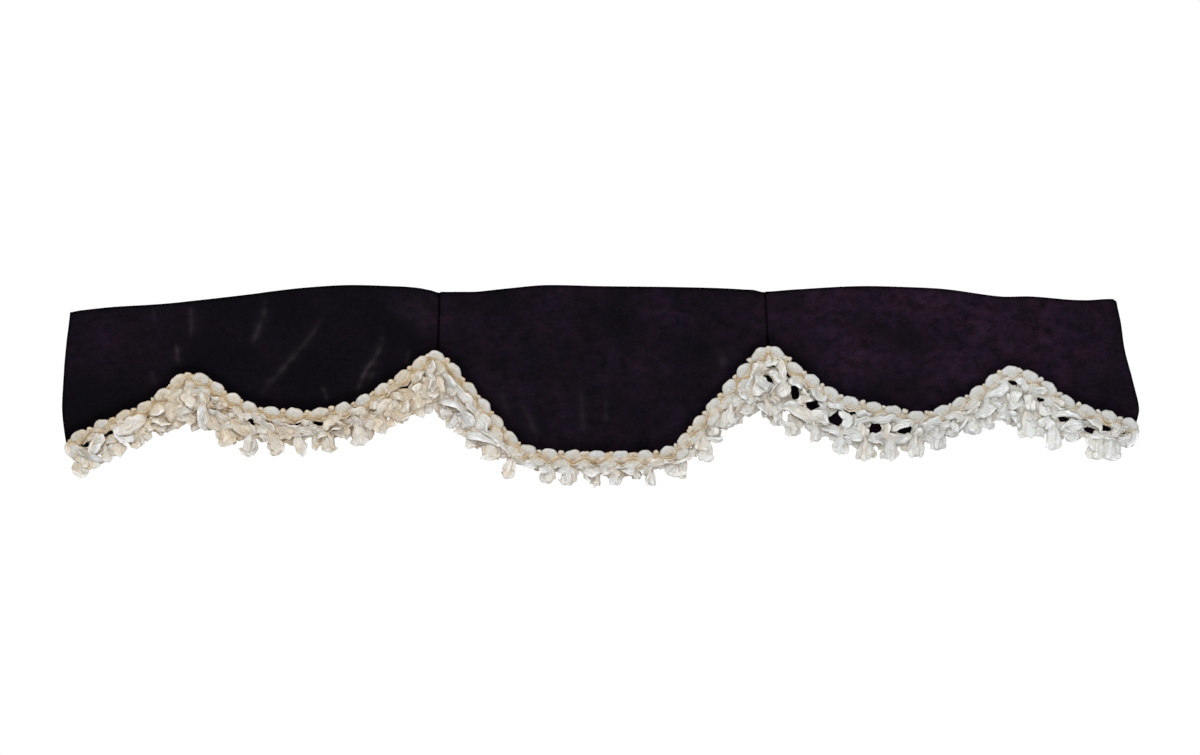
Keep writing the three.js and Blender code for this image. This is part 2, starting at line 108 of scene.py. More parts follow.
# Fine creases on the folds: line, half width, rise and the strength of the painted highlight where its crushed pile
# catches light.
CREASES = [
    ([(-874, -40), (-867, -78)], 6, 0.5, 0.25),
    ([(-801, -34), (-798, -70), (-801, -106)], 6, 1.2, 0.8),
    ([(-828, -108), (-825, -136), (-821, -164)], 6, 1.0, 0.8),
    ([(-648, -14), (-657, -62), (-668, -92), (-684, -122)], 7, 1.4, 0.85),
    ([(-530, -48), (-560, -92), (-604, -146), (-640, -184), (-671, -222)], 7, 1.8, 0.55),
    ([(-428, -68), (-425, -113), (-435, -137), (-459, -166), (-473, -199), (-484, -220)], 6, 1.7, 0.90),
    ([(-435, -137), (-442, -166), (-455, -196)], 6, 0.9, 0.60),
    ([(-373, -122), (-377, -140), (-384, -160)], 5, 0.8, 0.45),
    ([(-546, -190), (-538, -208), (-531, -228)], 6, 0.8, 0.5),
    ([(-880, -162), (-863, -196)], 7, 0.6, 0.3),
    ([(-400, -20), (-372, -50), (-338, -88)], 16, 0.8, 0.14),
    ([(-366, -14), (-348, -50), (-330, -92)], 11, 0.5, 0.10),
    ([(-196, -204), (-178, -254)], 9, 0.5, 0.3),
    ([(-156, -222), (-138, -262), (-120, -308)], 9, 1.2, 0.42),
    ([(-39, -192), (-36, -250), (-29, -314)], 8, 1.1, 0.42),
    ([(10, -216), (9, -270)], 6, 0.7, 0.35),
    ([(228, -112), (242, -170)], 12, 0.8, 0.4),
]
# Patches of more or less disturbed pile (x, z, half width, half height, amount); the first three paint the pinkish
# sheen of a fan of folds by the left seam's top.
PATCHES = [
    (-398, -32, 20, 18, 0.40), (-370, -52, 20, 18, 0.45), (-343, -76, 18, 18, 0.40),
    (-958, -100, 40, 46, 0.35), (520, -75, 55, 28, -0.45), (605, -106, 60, 28, -0.45), (827, -70, 15, 52, -0.55),
    (968, -208, 75, 52, -0.35), (739, -70, 26, 46, 0.30), (400, -60, 60, 40, 0.15), (930, -60, 60, 50, 0.05),
    (530, -208, 100, 44, -0.60), (680, -205, 60, 30, -0.40), (400, -150, 60, 30, -0.25),
    (1000, -100, 80, 110, -0.30), (1020, -90, 35, 95, -0.25),
    (1005, -225, 80, 42, -0.25), (985, -38, 50, 22, -0.25), (-1018, -248, 75, 42, -0.35),
]
# Middles of the heading's domes (x).
LOBE_X = [
    -1016, -973, -928, -889, -855, -825, -779, -747, -716, -684, -640, -597, -546, -501, -462, -427,
    -388, -353, -320, -285, -255, -228, -203, -176, -142, -101, -55, -8, 39, 86, 129, 160, 191, 218,
    250, 277, 308, 343, 378, 411, 447, 486, 530, 569, 614, 663, 696, 731, 762, 796, 835, 872, 909,
    948, 989, 1030,
]
# Depth of heading and net below the crowns (x, depth).
NET = [
    (-1055, 36), (-1032, 42), (-1006, 52), (-977, 58), (-922, 60), (-870, 74), (-815, 98),
    (-762, 98), (-704, 82), (-661, 68), (-603, 72), (-507, 66), (-441, 86), (-372, 98),
    (-328, 101), (-291, 107), (-236, 92), (-191, 64), (-142, 45), (-41, 41), (57, 51), (115, 45),
    (174, 55), (232, 70), (271, 92), (310, 129), (353, 129), (398, 113), (439, 98), (495, 92),
    (540, 88), (589, 74), (632, 70), (681, 70), (704, 60), (749, 90), (778, 99), (801, 111),
    (860, 103), (895, 92), (938, 70), (993, 64), (1022, 58), (1037, 42), (1055, 36),
]
# Tufts (neck x, neck z, swing of the cut end, drop of the cut end, width of the cut end).
TUFTS = [
    (-1011, -325, 1, 46, 36), (-986, -320, 2, 36, 23), (-966, -308, -2, 36, 22),
    (-947, -298, 3, 37, 34), (-895, -283, -6, 35, 20), (-879, -269, -2, 27, 23),
    (-854, -257, 0, 27, 27), (-807, -238, 0, 27, 31), (-770, -250, 0, 29, 27),
    (-731, -269, 4, 43, 39), (-680, -288, -2, 44, 34), (-642, -287, 18, 41, 33),
    (-591, -283, 20, 45, 29), (-556, -289, 4, 31, 20), (-532, -287, 6, 37, 33),
    (-497, -275, 2, 23, 23), (-474, -267, 4, 47, 37), (-447, -259, 0, 23, 23),
    (-427, -252, 2, 37, 23), (-386, -226, 0, 31, 29), (-359, -214, 2, 27, 27),
    (-330, -205, 2, 23, 27), (-306, -220, 4, 35, 23), (-275, -240, -6, 39, 23),
    (-254, -283, 0, 37, 27), (-214, -295, 0, 47, 42), (-172, -331, -8, 48, 25),
    (-103, -345, -2, 43, 35), (-63, -349, 0, 43, 35), (-29, -351, 4, 29, 20),
    (-8, -353, 2, 39, 21), (21, -357, 10, 33, 27), (72, -353, 0, 27, 18), (90, -349, 2, 45, 20),
    (146, -343, -16, 27, 21), (138, -367, 31, 2, 12), (201, -296, -6, 47, 31),
    (199, -294, 41, 12, 12), (252, -236, 2, 39, 33), (294, -222, -4, 25, 27),
    (322, -226, 0, 27, 27), (341, -236, 4, 37, 21), (370, -257, 10, 37, 27),
    (415, -267, 2, 39, 25), (468, -287, 2, 43, 33), (513, -300, -3, 42, 37),
    (564, -296, 0, 45, 37), (612, -292, 0, 43, 39), (653, -281, 0, 41, 37),
    (684, -267, 2, 25, 21), (725, -262, 0, 28, 45), (757, -246, 0, 25, 20),
    (784, -238, -2, 23, 27), (829, -248, 2, 49, 47), (878, -275, -2, 45, 33),
    (915, -267, 2, 35, 35), (966, -290, 2, 50, 47), (992, -293, 0, 48, 46),
    (1026, -291, 2, 23, 25),
]
# Largest gaps of the net (middle x, middle z, wide, high, tilt in degrees).
GAPS = [
    (-1002, -309, 19, 9, 0), (-957, -287, 20, 8, 8), (-681, -263, 12, 8, -20),
    (-595, -267, 16, 7, -5), (-548, -266, 16, 10, 12), (-382, -193, 23, 7, 42),
    (330, -183, 35, 8, -28), (378, -207, 14, 27, 20), (410, -234, 27, 16, 5),
    (458, -257, 29, 25, 0), (484, -244, 20, 8, -10), (534, -277, 25, 18, 20),
    (591, -281, 27, 12, 15), (803, -189, 20, 6, -40), (899, -259, 20, 12, 8),
    (954, -281, 31, 9, -15), (985, -277, 14, 12, -10), (1022, -289, 20, 7, 10),
    (363, -255, 20, 20, 0),
    (852, -219, 9, 4, -20), (329, -157, 9, 5, 20), (365, -173, 6, 9, 25),
]
# Rovings on the face of the net: path, width, how far forward, warmth and tone.
RIBBONS = [
    ([(-318, -220), (-284, -228), (-246, -246)], 22, 7.4, 0.0, 0.95),
    ([(-284, -250), (-266, -261), (-250, -280)], 30, 8.2, -0.6, 1.03),
    ([(-250, -246), (-234, -260), (-222, -282)], 28, 8.4, -0.6, 1.04),
    ([(-262, -286), (-225, -294), (-184, -310)], 19, 8.0, -0.4, 1.0),
    ([(-312, -176), (-300, -186), (-288, -204)], 26, 7.6, -0.5, 1.03),
    ([(-306, -170), (-292, -198), (-258, -226)], 24, 5.4, -0.5, 1.04),
    ([(-262, -216), (-240, -246), (-205, -264)], 20, 5.0, -0.1, 0.96),
    ([(-256, -248), (-232, -270), (-222, -292)], 22, 5.6, -0.6, 1.05),
    ([(-234, -250), (-206, -268), (-184, -294)], 18, 5.2, -0.5, 1.04),
    ([(-238, -284), (-205, -302), (-172, -328)], 16, 5.0, -0.3, 1.0),
    ([(-1040, -304), (-1024, -324), (-996, -337), (-966, -341)], 22, 5.0, -0.6, 1.04),
    ([(-958, -283), (-972, -300), (-993, -331)], 15, 8.6, -0.7, 1.06),
    ([(-958, -284), (-926, -276), (-886, -254)], 24, 9.6, -0.7, 1.06),
    ([(-954, -286), (-930, -293), (-904, -298)], 20, 9.0, -0.7, 1.06),
    ([(-906, -262), (-898, -284), (-902, -306)], 15, 4.6, -0.4, 1.0),
    ([(352, -242), (349, -256), (356, -269), (374, -274)], 10.0, 5, 0.15, 1.0),
    ([(-1034, -315), (-1012, -322), (-988, -322), (-966, -312)], 12.0, 4, 0.2, 1.0),
    ([(-1035, -302), (-1034, -315), (-1023, -327), (-1001, -332)], 17.9, 6, 0.25, 1.0),
    ([(-1030, -296), (-1018, -301), (-1001, -302), (-980, -294)], 9.9, 5, 0.2, 1.0),
    ([(-1018, -334), (-1005, -341), (-995, -348)], 17.4, 5, 0.2, 1.0),
    ([(-988, -326), (-973, -320), (-958, -306)], 13.7, 4, 0.1, 0.85),
    ([(-968, -283), (-979, -299), (-987, -314), (-992, -334)], 14.4, 8, -0.1, 1.05),
    ([(-959, -281), (-938, -278), (-916, -269), (-883, -249)], 15.4, 8, -0.15, 1.05),
    ([(-950, -294), (-931, -291), (-908, -284), (-893, -269)], 16.4, 7, -0.1, 1.0),
    ([(-946, -306), (-950, -316), (-955, -326)], 14.9, 5, 0.3, 0.9),
    ([(-906, -286), (-898, -296), (-896, -309)], 14.9, 5, 0.15, 0.9),
    ([(-891, -281), (-881, -274), (-866, -274)], 14.9, 6, 0.2, 0.95),
    ([(-881, -244), (-866, -242), (-847, -233)], 17.9, 8, 0.1, 1.05),
    ([(-872, -254), (-856, -264), (-836, -266)], 16.4, 6, 0.1, 1.0),
    ([(-846, -224), (-836, -212), (-824, -193)], 15.4, 8, -0.1, 0.95),
    ([(-836, -222), (-841, -242), (-830, -264)], 14.4, 6, 0, 0.85),
    ([(-825, -259), (-817, -245), (-794, -240)], 15.4, 7, 0.1, 1.0),
    ([(-817, -214), (-804, -220), (-790, -235)], 18.4, 9, 0.15, 1.08),
    ([(-811, -259), (-796, -261), (-784, -259)], 14.9, 6, 0.05, 1.0),
    ([(-780, -224), (-774, -242), (-778, -261), (-768, -281)], 14.9, 8, 0.15, 1.05),
    ([(-761, -217), (-744, -225), (-723, -230)], 14.4, 7, -0.05, 1.0),
    ([(-753, -246), (-734, -261), (-719, -276)], 18.4, 6, 0.25, 0.95),
    ([(-750, -234), (-734, -232), (-724, -219)], 11.4, 8, 0, 1.0),
    ([(-744, -281), (-732, -274), (-707, -269)], 14.9, 7, 0.2, 0.95),
    ([(-714, -242), (-699, -251), (-674, -254)], 12.4, 6, 0.1, 0.95),
    ([(-704, -250), (-693, -257), (-680, -275), (-675, -291)], 14.9, 6, 0.1, 1.0),
    ([(-704, -270), (-694, -280), (-689, -295)], 14.9, 5, 0.2, 1.0),
    ([(-702, -269), (-684, -276), (-667, -281)], 12.4, 6, 0.2, 0.9),
    ([(-694, -294), (-682, -306), (-677, -321)], 14.9, 6, 0.25, 1.0),
    ([(-677, -255), (-662, -265), (-644, -276), (-634, -288)], 14.4, 7, 0, 1.03),
    ([(-667, -287), (-649, -292), (-632, -307)], 15.9, 6, 0.25, 1.0),
    ([(-644, -258), (-622, -270), (-599, -275), (-580, -271)], 10.9, 6, 0.05, 0.95),
    ([(-642, -278), (-617, -281), (-595, -280)], 12.4, 5, 0.1, 0.9),
    ([(-629, -292), (-609, -287), (-587, -287)], 16.4, 6, 0.1, 0.92),
    ([(-587, -261), (-572, -268), (-557, -273)], 11.4, 7, 0, 1.0),
    ([(-577, -287), (-565, -280), (-550, -275)], 14.9, 6, 0.1, 1.0),
    ([(-565, -260), (-545, -257), (-525, -255)], 10.9, 6, 0.1, 1.0),
    ([(-555, -295), (-540, -285), (-520, -275)], 16.4, 6, 0, 0.93),
    ([(-546, -281), (-530, -266), (-507, -253)], 14.4, 8, -0.1, 1.07),
    ([(-507, -267), (-498, -278), (-493, -292)], 16.4, 6, 0.25, 1.0),
    ([(-496, -249), (-476, -246), (-452, -243)], 16.4, 8, -0.05, 1.07),
    ([(-488, -257), (-473, -267), (-468, -285)], 15.4, 6, 0.1, 0.9),
    ([(-455, -257), (-438, -267), (-423, -281)], 20.9, 6, 0.15, 0.97),
    ([(-453, -237), (-440, -231), (-428, -235)], 15.4, 8, 0, 1.0),
    ([(-430, -252), (-423, -231), (-402, -225)], 13.9, 8, 0.05, 1.05),
    ([(-418, -255), (-410, -242), (-402, -231)], 14.9, 7, -0.05, 1.05),
    ([(-410, -209), (-396, -215), (-378, -219)], 12.9, 7, 0.2, 0.97),
    ([(-401, -235), (-391, -240), (-373, -235)], 14.9, 6, 0.1, 0.95),
    ([(-383, -220), (-381, -232), (-384, -250)], 17.4, 7, 0, 1.0),
    ([(-364, -190), (-357, -178), (-347, -161)], 14.4, 8, 0.15, 1.02),
    ([(-359, -191), (-357, -200), (-356, -206)], 16.4, 9, -0.1, 1.12),
    ([(-353, -180), (-343, -187), (-348, -202)], 14.9, 7, 0.1, 1.0),
    ([(-351, -212), (-338, -207), (-321, -212)], 16.4, 6, 0.05, 1.0),
    ([(-348, -210), (-336, -215), (-318, -207)], 15.4, 6, 0.1, 1.0),
    ([(-346, -195), (-336, -205), (-323, -200)], 13.9, 6, -0.05, 0.95),
    ([(-343, -170), (-333, -178), (-323, -193)], 13.9, 6, -0.05, 0.9),
    ([(-338, -185), (-328, -195), (-321, -190)], 12.4, 7, 0, 0.9),
    ([(-334, -143), (-329, -159), (-338, -174)], 14.9, 7, 0.05, 0.97),
    ([(-318, -177), (-312, -195), (-302, -211)], 12.9, 8, 0.25, 1.05),
    ([(-316, -222), (-286, -232), (-261, -245)], 19.9, 5, 0.15, 0.86),
    ([(-312, -235), (-302, -245), (-292, -257)], 18.4, 6, -0.05, 1.07),
    ([(-297, -177), (-288, -197), (-292, -215)], 14.9, 7, -0.05, 0.95),
    ([(-281, -204), (-266, -217), (-246, -232)], 14.4, 8, 0, 1.03),
    ([(-281, -260), (-268, -255), (-251, -252)], 21.4, 7, 0, 1.06),
    ([(-268, -279), (-253, -277), (-236, -287)], 14.9, 6, 0.2, 0.95),
    ([(-246, -269), (-237, -257), (-234, -245)], 16.9, 7, 0, 1.04),
    ([(-236, -277), (-216, -288), (-194, -304), (-176, -317)], 12.9, 7, 0, 1.0),
    ([(-181, -334), (-174, -329), (-159, -342)], 13.4, 6, 0.3, 1.0),
    ([(-169, -327), (-147, -343), (-122, -350)], 14.4, 6, -0.05, 1.0),
    ([(-119, -349), (-109, -357), (-92, -361)], 14.9, 6, 0.2, 1.0),
    ([(-84, -354), (-67, -359), (-47, -357)], 15.9, 6, -0.05, 0.95),
    ([(-40, -357), (-17, -361), (3, -357)], 14.9, 6, 0.1, 0.97),
    ([(-2, -357), (13, -359), (30, -354)], 14.9, 6, 0.05, 0.95),
    ([(0, -361), (20, -364), (35, -357)], 14.9, 6, 0.1, 0.95),
    ([(40, -352), (53, -359), (70, -357)], 13.9, 6, -0.1, 0.95),
    ([(73, -354), (85, -359), (95, -359)], 14.9, 6, 0.3, 0.95),
    ([(180, -307), (192, -312), (209, -312)], 14.9, 6, 0.1, 1.0),
    ([(207, -287), (217, -285), (222, -275)], 14.9, 7, 0.1, 0.95),
    ([(254, -245), (262, -255), (267, -267)], 16.4, 6, 0.2, 1.0),
    ([(267, -241), (284, -244), (303, -242)], 12.4, 6, -0.15, 1.0),
    ([(272, -212), (284, -217), (297, -230)], 12.4, 6, 0.05, 0.95),
    ([(284, -144), (304, -142), (319, -130), (330, -123)], 9.0, 10, 0.95, 0.9),
    ([(289, -205), (306, -203), (321, -196)], 17.4, 7, -0.1, 1.03),
    ([(290, -160), (304, -164), (320, -159)], 22.4, 9, 0.15, 1.15),
    ([(303, -179), (321, -190), (334, -203)], 16.4, 6, -0.1, 0.85),
    ([(305, -227), (319, -237), (330, -247)], 18.9, 6, 0.05, 0.97),
    ([(318, -174), (334, -170), (346, -178), (348, -194)], 11.4, 7, -0.1, 1.1),
    ([(319, -149), (334, -152), (346, -143)], 9.0, 7, -0.05, 1.05),
    ([(329, -215), (344, -227), (356, -225)], 14.9, 6, 0.05, 0.92),
    ([(330, -254), (342, -239), (359, -232)], 14.9, 6, -0.05, 0.97),
    ([(331, -130), (344, -145), (352, -163), (356, -184)], 13.9, 8, -0.05, 1.05),
    ([(334, -242), (343, -255), (349, -272)], 16.4, 6, 0, 0.93),
    ([(335, -234), (344, -254), (349, -269)], 14.9, 6, 0.05, 0.95),
    ([(340, -212), (356, -204), (370, -194)], 16.4, 8, 0.15, 1.05),
    ([(344, -239), (372, -239), (394, -248), (414, -262), (429, -274)], 19.4, 6, -0.05, 0.92),
    ([(351, -239), (369, -231), (388, -242)], 13.9, 7, -0.15, 1.0),
    ([(351, -142), (357, -161), (363, -181)], 10.9, 8, -0.1, 1.07),
    ([(359, -270), (371, -277), (384, -287)], 16.4, 6, 0.3, 1.0),
    ([(364, -181), (381, -193), (395, -198)], 10.4, 7, -0.05, 1.07),
    ([(367, -262), (379, -269), (394, -269)], 13.9, 6, 0, 0.9),
    ([(376, -223), (390, -221), (414, -221)], 12.4, 8, 0.25, 1.1),
    ([(390, -201), (397, -212), (404, -222)], 12.9, 8, 0.3, 1.1),
    ([(410, -198), (425, -213), (439, -227)], 16.9, 7, -0.2, 1.0),
    ([(413, -246), (427, -256), (440, -269)], 19.4, 8, 0.1, 1.1),
    ([(424, -237), (437, -249), (443, -264)], 11.4, 7, -0.1, 0.97),
    ([(428, -280), (445, -277), (464, -287), (473, -298)], 13.9, 6, -0.1, 0.95),
    ([(437, -229), (459, -234), (481, -237), (501, -248)], 10.9, 7, -0.05, 1.0),
    ([(469, -297), (481, -300), (491, -307)], 12.9, 6, -0.05, 0.98),
    ([(471, -277), (489, -287), (511, -295)], 20.4, 7, -0.15, 1.0),
    ([(478, -243), (479, -261), (470, -277)], 14.4, 7, 0.25, 1.07),
    ([(489, -264), (509, -262), (529, -258), (553, -258)], 9.9, 6, -0.1, 0.97),
    ([(495, -267), (509, -278), (515, -294)], 16.4, 8, -0.2, 1.05),
    ([(496, -243), (512, -251), (526, -254)], 15.4, 7, -0.2, 0.98),
    ([(521, -289), (538, -298), (555, -305)], 16.4, 6, -0.05, 0.88),
    ([(524, -266), (546, -262), (568, -257), (583, -266)], 11.9, 8, -0.05, 1.07),
    ([(546, -268), (548, -284), (560, -295), (581, -295)], 15.4, 8, 0.15, 1.07),
    ([(548, -307), (573, -299), (601, -289)], 15.4, 6, -0.1, 0.93),
    ([(561, -280), (578, -274), (594, -267)], 9.0, 8, -0.1, 1.1),
    ([(576, -263), (597, -270), (617, -275)], 13.4, 7, 0, 1.0),
    ([(607, -294), (617, -287), (628, -280)], 13.9, 8, 0, 1.1),
    ([(619, -275), (643, -267), (664, -258)], 14.4, 8, -0.05, 1.08),
    ([(635, -287), (653, -287), (670, -277)], 18.9, 6, -0.05, 0.9),
    ([(670, -258), (688, -251), (705, -262)], 13.9, 7, 0.1, 1.03),
    ([(673, -274), (685, -274), (690, -287)], 14.9, 6, 0.2, 1.05),
    ([(682, -244), (699, -242), (713, -252)], 8.7, 7, -0.05, 1.05),
    ([(685, -261), (702, -258), (717, -256)], 11.2, 5, 0.05, 0.95),
    ([(707, -253), (721, -240), (739, -225)], 8.7, 7, 0.1, 1.05),
    ([(736, -239), (753, -241), (765, -228)], 18.9, 7, 0.1, 1.0),
    ([(746, -210), (764, -211), (782, -201), (787, -181)], 13.6, 8, -0.05, 1.05),
    ([(778, -256), (795, -250), (809, -256)], 16.0, 6, -0.05, 1.0),
    ([(785, -215), (799, -218), (813, -205)], 17.0, 8, 0.15, 1.1),
    ([(790, -232), (804, -232), (814, -219)], 17.0, 8, 0.2, 1.05),
    ([(804, -249), (815, -263), (818, -278)], 18.9, 6, -0.05, 0.92),
    ([(807, -179), (820, -190), (832, -205)], 13.6, 8, -0.1, 1.05),
    ([(824, -212), (834, -227), (836, -244)], 16.5, 8, -0.1, 1.12),
    ([(826, -261), (838, -266), (850, -270)], 14.6, 6, 0, 0.97),
    ([(836, -201), (854, -202), (867, -212)], 12.6, 7, -0.05, 1.0),
    ([(850, -270), (865, -264), (877, -280)], 17.5, 7, 0, 1.05),
    ([(852, -229), (861, -246), (878, -241)], 13.6, 8, 0.2, 1.08),
    ([(872, -217), (887, -227), (896, -239)], 14.1, 7, -0.05, 1.03),
    ([(882, -251), (911, -250), (938, -262)], 9.7, 8, -0.05, 1.1),
    ([(895, -282), (902, -273), (936, -270)], 13.1, 8, 0.05, 1.08),
    ([(899, -280), (911, -292), (923, -295)], 14.6, 6, -0.05, 1.0),
    ([(946, -259), (967, -270), (980, -281)], 11.6, 8, -0.05, 1.1),
    ([(947, -292), (969, -289), (996, -290), (1018, -282)], 12.1, 7, 0, 1.05),
    ([(947, -290), (952, -304), (962, -319)], 14.6, 7, 0.25, 1.05),
    ([(967, -304), (984, -302), (1001, -304)], 16.0, 6, -0.05, 0.97),
    ([(992, -284), (1010, -276), (1035, -273)], 11.2, 8, 0, 1.07),
    ([(1003, -304), (1020, -302), (1036, -291)], 16.0, 7, -0.1, 0.95),
    ([(1042, -273), (1039, -292), (1020, -313)], 13.6, 6, 0, 1.0),
]


# ------------------------------------------------------------------ smooth functions of the tables
def smooth(rows, column=1):
    """Cubic through the rows of a table, flat past its ends."""
    t = np.array([r[0] for r in rows], float)
    p = np.array([r[column] for r in rows], float)
    last = len(t) - 1
    before = np.maximum(np.arange(last + 1) - 1, 0)
    after = np.minimum(np.arange(last + 1) + 1, last)
    slope = (p[after] - p[before]) / (t[after] - t[before])

    def at(v):
        v = np.clip(np.asarray(v, float), t[0], t[-1])
        i = np.clip(np.searchsorted(t, v) - 1, 0, last - 1)
        run = t[i + 1] - t[i]
        u = (v - t[i]) / run
        w = 1 - u
        return (p[i] * w * w * (1 + 2 * u) + slope[i] * run * u * w * w
                + p[i + 1] * u * u * (3 - 2 * u) - slope[i + 1] * run * u * u * w)
    return at


top_line, scallop, hidden = smooth(TOP_EDGE), smooth(SCALLOP), smooth(HIDDEN)
wave_top, wave_foot = smooth(WAVES, 1), smooth(WAVES, 2)
net_depth = smooth(NET)
side_left, side_right = smooth(SIDE_LEFT), smooth(SIDE_RIGHT)
seam_left, seam_right = smooth(SEAM_LEFT), smooth(SEAM_RIGHT)


def cut_edge(x):
    return scallop(x) - hidden(x)


def ramp(t):
    u = np.clip(t, 0, 1)
    return u * u * (3 - 2 * u)


def top_edge(x):
    """Top edge, with the short steps where the hems meet at the seams and rounded corners."""
    x = np.asarray(x, float)
    step = 1.8 * np.exp(-((x + 329) / 11) ** 2) + 3.4 * ramp((x + 316) / 7) * (1 - ramp((x + 296) / 62))
    step = step + 2.2 * np.exp(-((x - 298) / 13) ** 2) + 1.6 * ramp((x - 320) / 6) * (1 - ramp((x - 338) / 62))
    step = step + 2.0 * ramp((x - 945) / 45) - 1.8 * (1 - ramp((x + 1037) / 22))
    return top_line(x) + step - 4.2 * ramp((x - 998.5) / 7)


def segment(x, z, x0, z0, x1, z1):
    """Distance along, off and past a line."""
    dx, dz = x1 - x0, z1 - z0
    long = math.hypot(dx, dz)
    along = ((x - x0) * dx + (z - z0) * dz) / long
    off = ((x - x0) * dz - (z - z0) * dx) / long
    past = np.maximum(0, np.maximum(-along, along - long))
    return along / long, off, past


def cloth_y(x, z):
    """Middle of the cloth, as in the solids."""
    top, cut = top_edge(x), cut_edge(x)
    down = ramp((top - z) / (top - cut))
    forward = wave_top(x) * (1 - down) + wave_foot(x) * down
    free = ramp((z - scallop(x) - FLAT_ABOVE) / FOLD_FADE)
    lift = np.zeros_like(forward)
    for x0, z0, x1, z1, half, rise in FOLDS:
        _, off, past = segment(x, z, x0, z0, x1, z1)
        lift += rise * np.exp(-(off * off + past * past) / (half * half))
    return WAVE_REST - forward - free * lift


class Soft:
    """Smooth seeded unevenness: a sum of slanted waves."""

    def __init__(self, seed, length, count=14):
        r = np.random.default_rng(seed)
        way = r.uniform(0, math.pi, count)
        step = 2 * math.pi / (length * r.uniform(0.6, 1.7, count))
        self.kx, self.kz = step * np.cos(way), step * np.sin(way)
        self.at0 = r.uniform(0, 2 * math.pi, count)

    def __call__(self, x, z):
        x, z = np.asarray(x, float), np.asarray(z, float)
        total = np.zeros(np.broadcast(x, z).shape)
        for kx, kz, at0 in zip(self.kx, self.kz, self.at0):
            total += np.sin(kx * x + kz * z + at0)
        return total / math.sqrt(len(self.kx) / 2)


dents, ripples, clouds = Soft(3, 90), Soft(4, 34), Soft(5, 120)


def crease_line(points, x, z):
    """Nearest distance to a crease, and a share that dies out at its ends."""
    best = np.full(np.shape(x), 1e9)
    share = np.zeros(np.shape(x))
    count = len(points) - 1
    for i in range(count):
        (x0, z0), (x1, z1) = points[i], points[i + 1]
        along, off, past = segment(x, z, x0, z0, x1, z1)
        far = off * off + past * past
        nearer = far < best
        best = np.where(nearer, far, best)
        run = (i + np.clip(along, 0, 1)) / count
        share = np.where(nearer, run, share)
    fade = ramp(share / 0.36) * ramp((1 - share) / 0.36)
    return best, fade


def face_lift(x, z):
    """Fine shape of the face on top of the solids' folds, towards the viewer."""
    free = ramp((z - scallop(x) - FLAT_ABOVE) / FOLD_FADE)
    lift = 0.55 * dents(x, z) + 0.22 * ripples(x, z)
    for points, half, rise, _ in CREASES:
        far, fade = crease_line(points, x, z)
        lift = lift + rise * (0.25 + 0.75 * fade) * np.exp(-far / (half * half))
    # Puckers where the seams draw the cloth in, and where the fringe is sewn on.
    for seam in (seam_left, seam_right):
        near = np.abs(x - seam(z))
        lift = lift + 0.5 * np.exp(-near / 16) * np.sin(z / 4.6 + 0.02 * x + 1.3 * np.sin(z / 31))
    high = np.maximum(z - scallop(x), 0)
    pucker = 0.45 * np.exp(-((high - 16) / 18) ** 2) * np.sin(x / 6.9 + 1.1 * np.sin(x / 47))
    return free * (lift + pucker)


def crease_highlight(x, z):
    """Strength of the painted highlight on the crushed pile along the creases, at a point of the face."""
    light = np.zeros(np.shape(x))
    for points, half, _, shine in CREASES:
        far, fade = crease_line(points, x, z)
        uneven = np.clip(0.88 + 0.28 * ripples(x * 1.5, z * 1.5), 0.2, 1.5)
        light += shine * fade * uneven * (0.70 * np.exp(-far / (0.56 * half) ** 2) + 0.32 * np.exp(-far / (1.6 * half) ** 2))
    return light


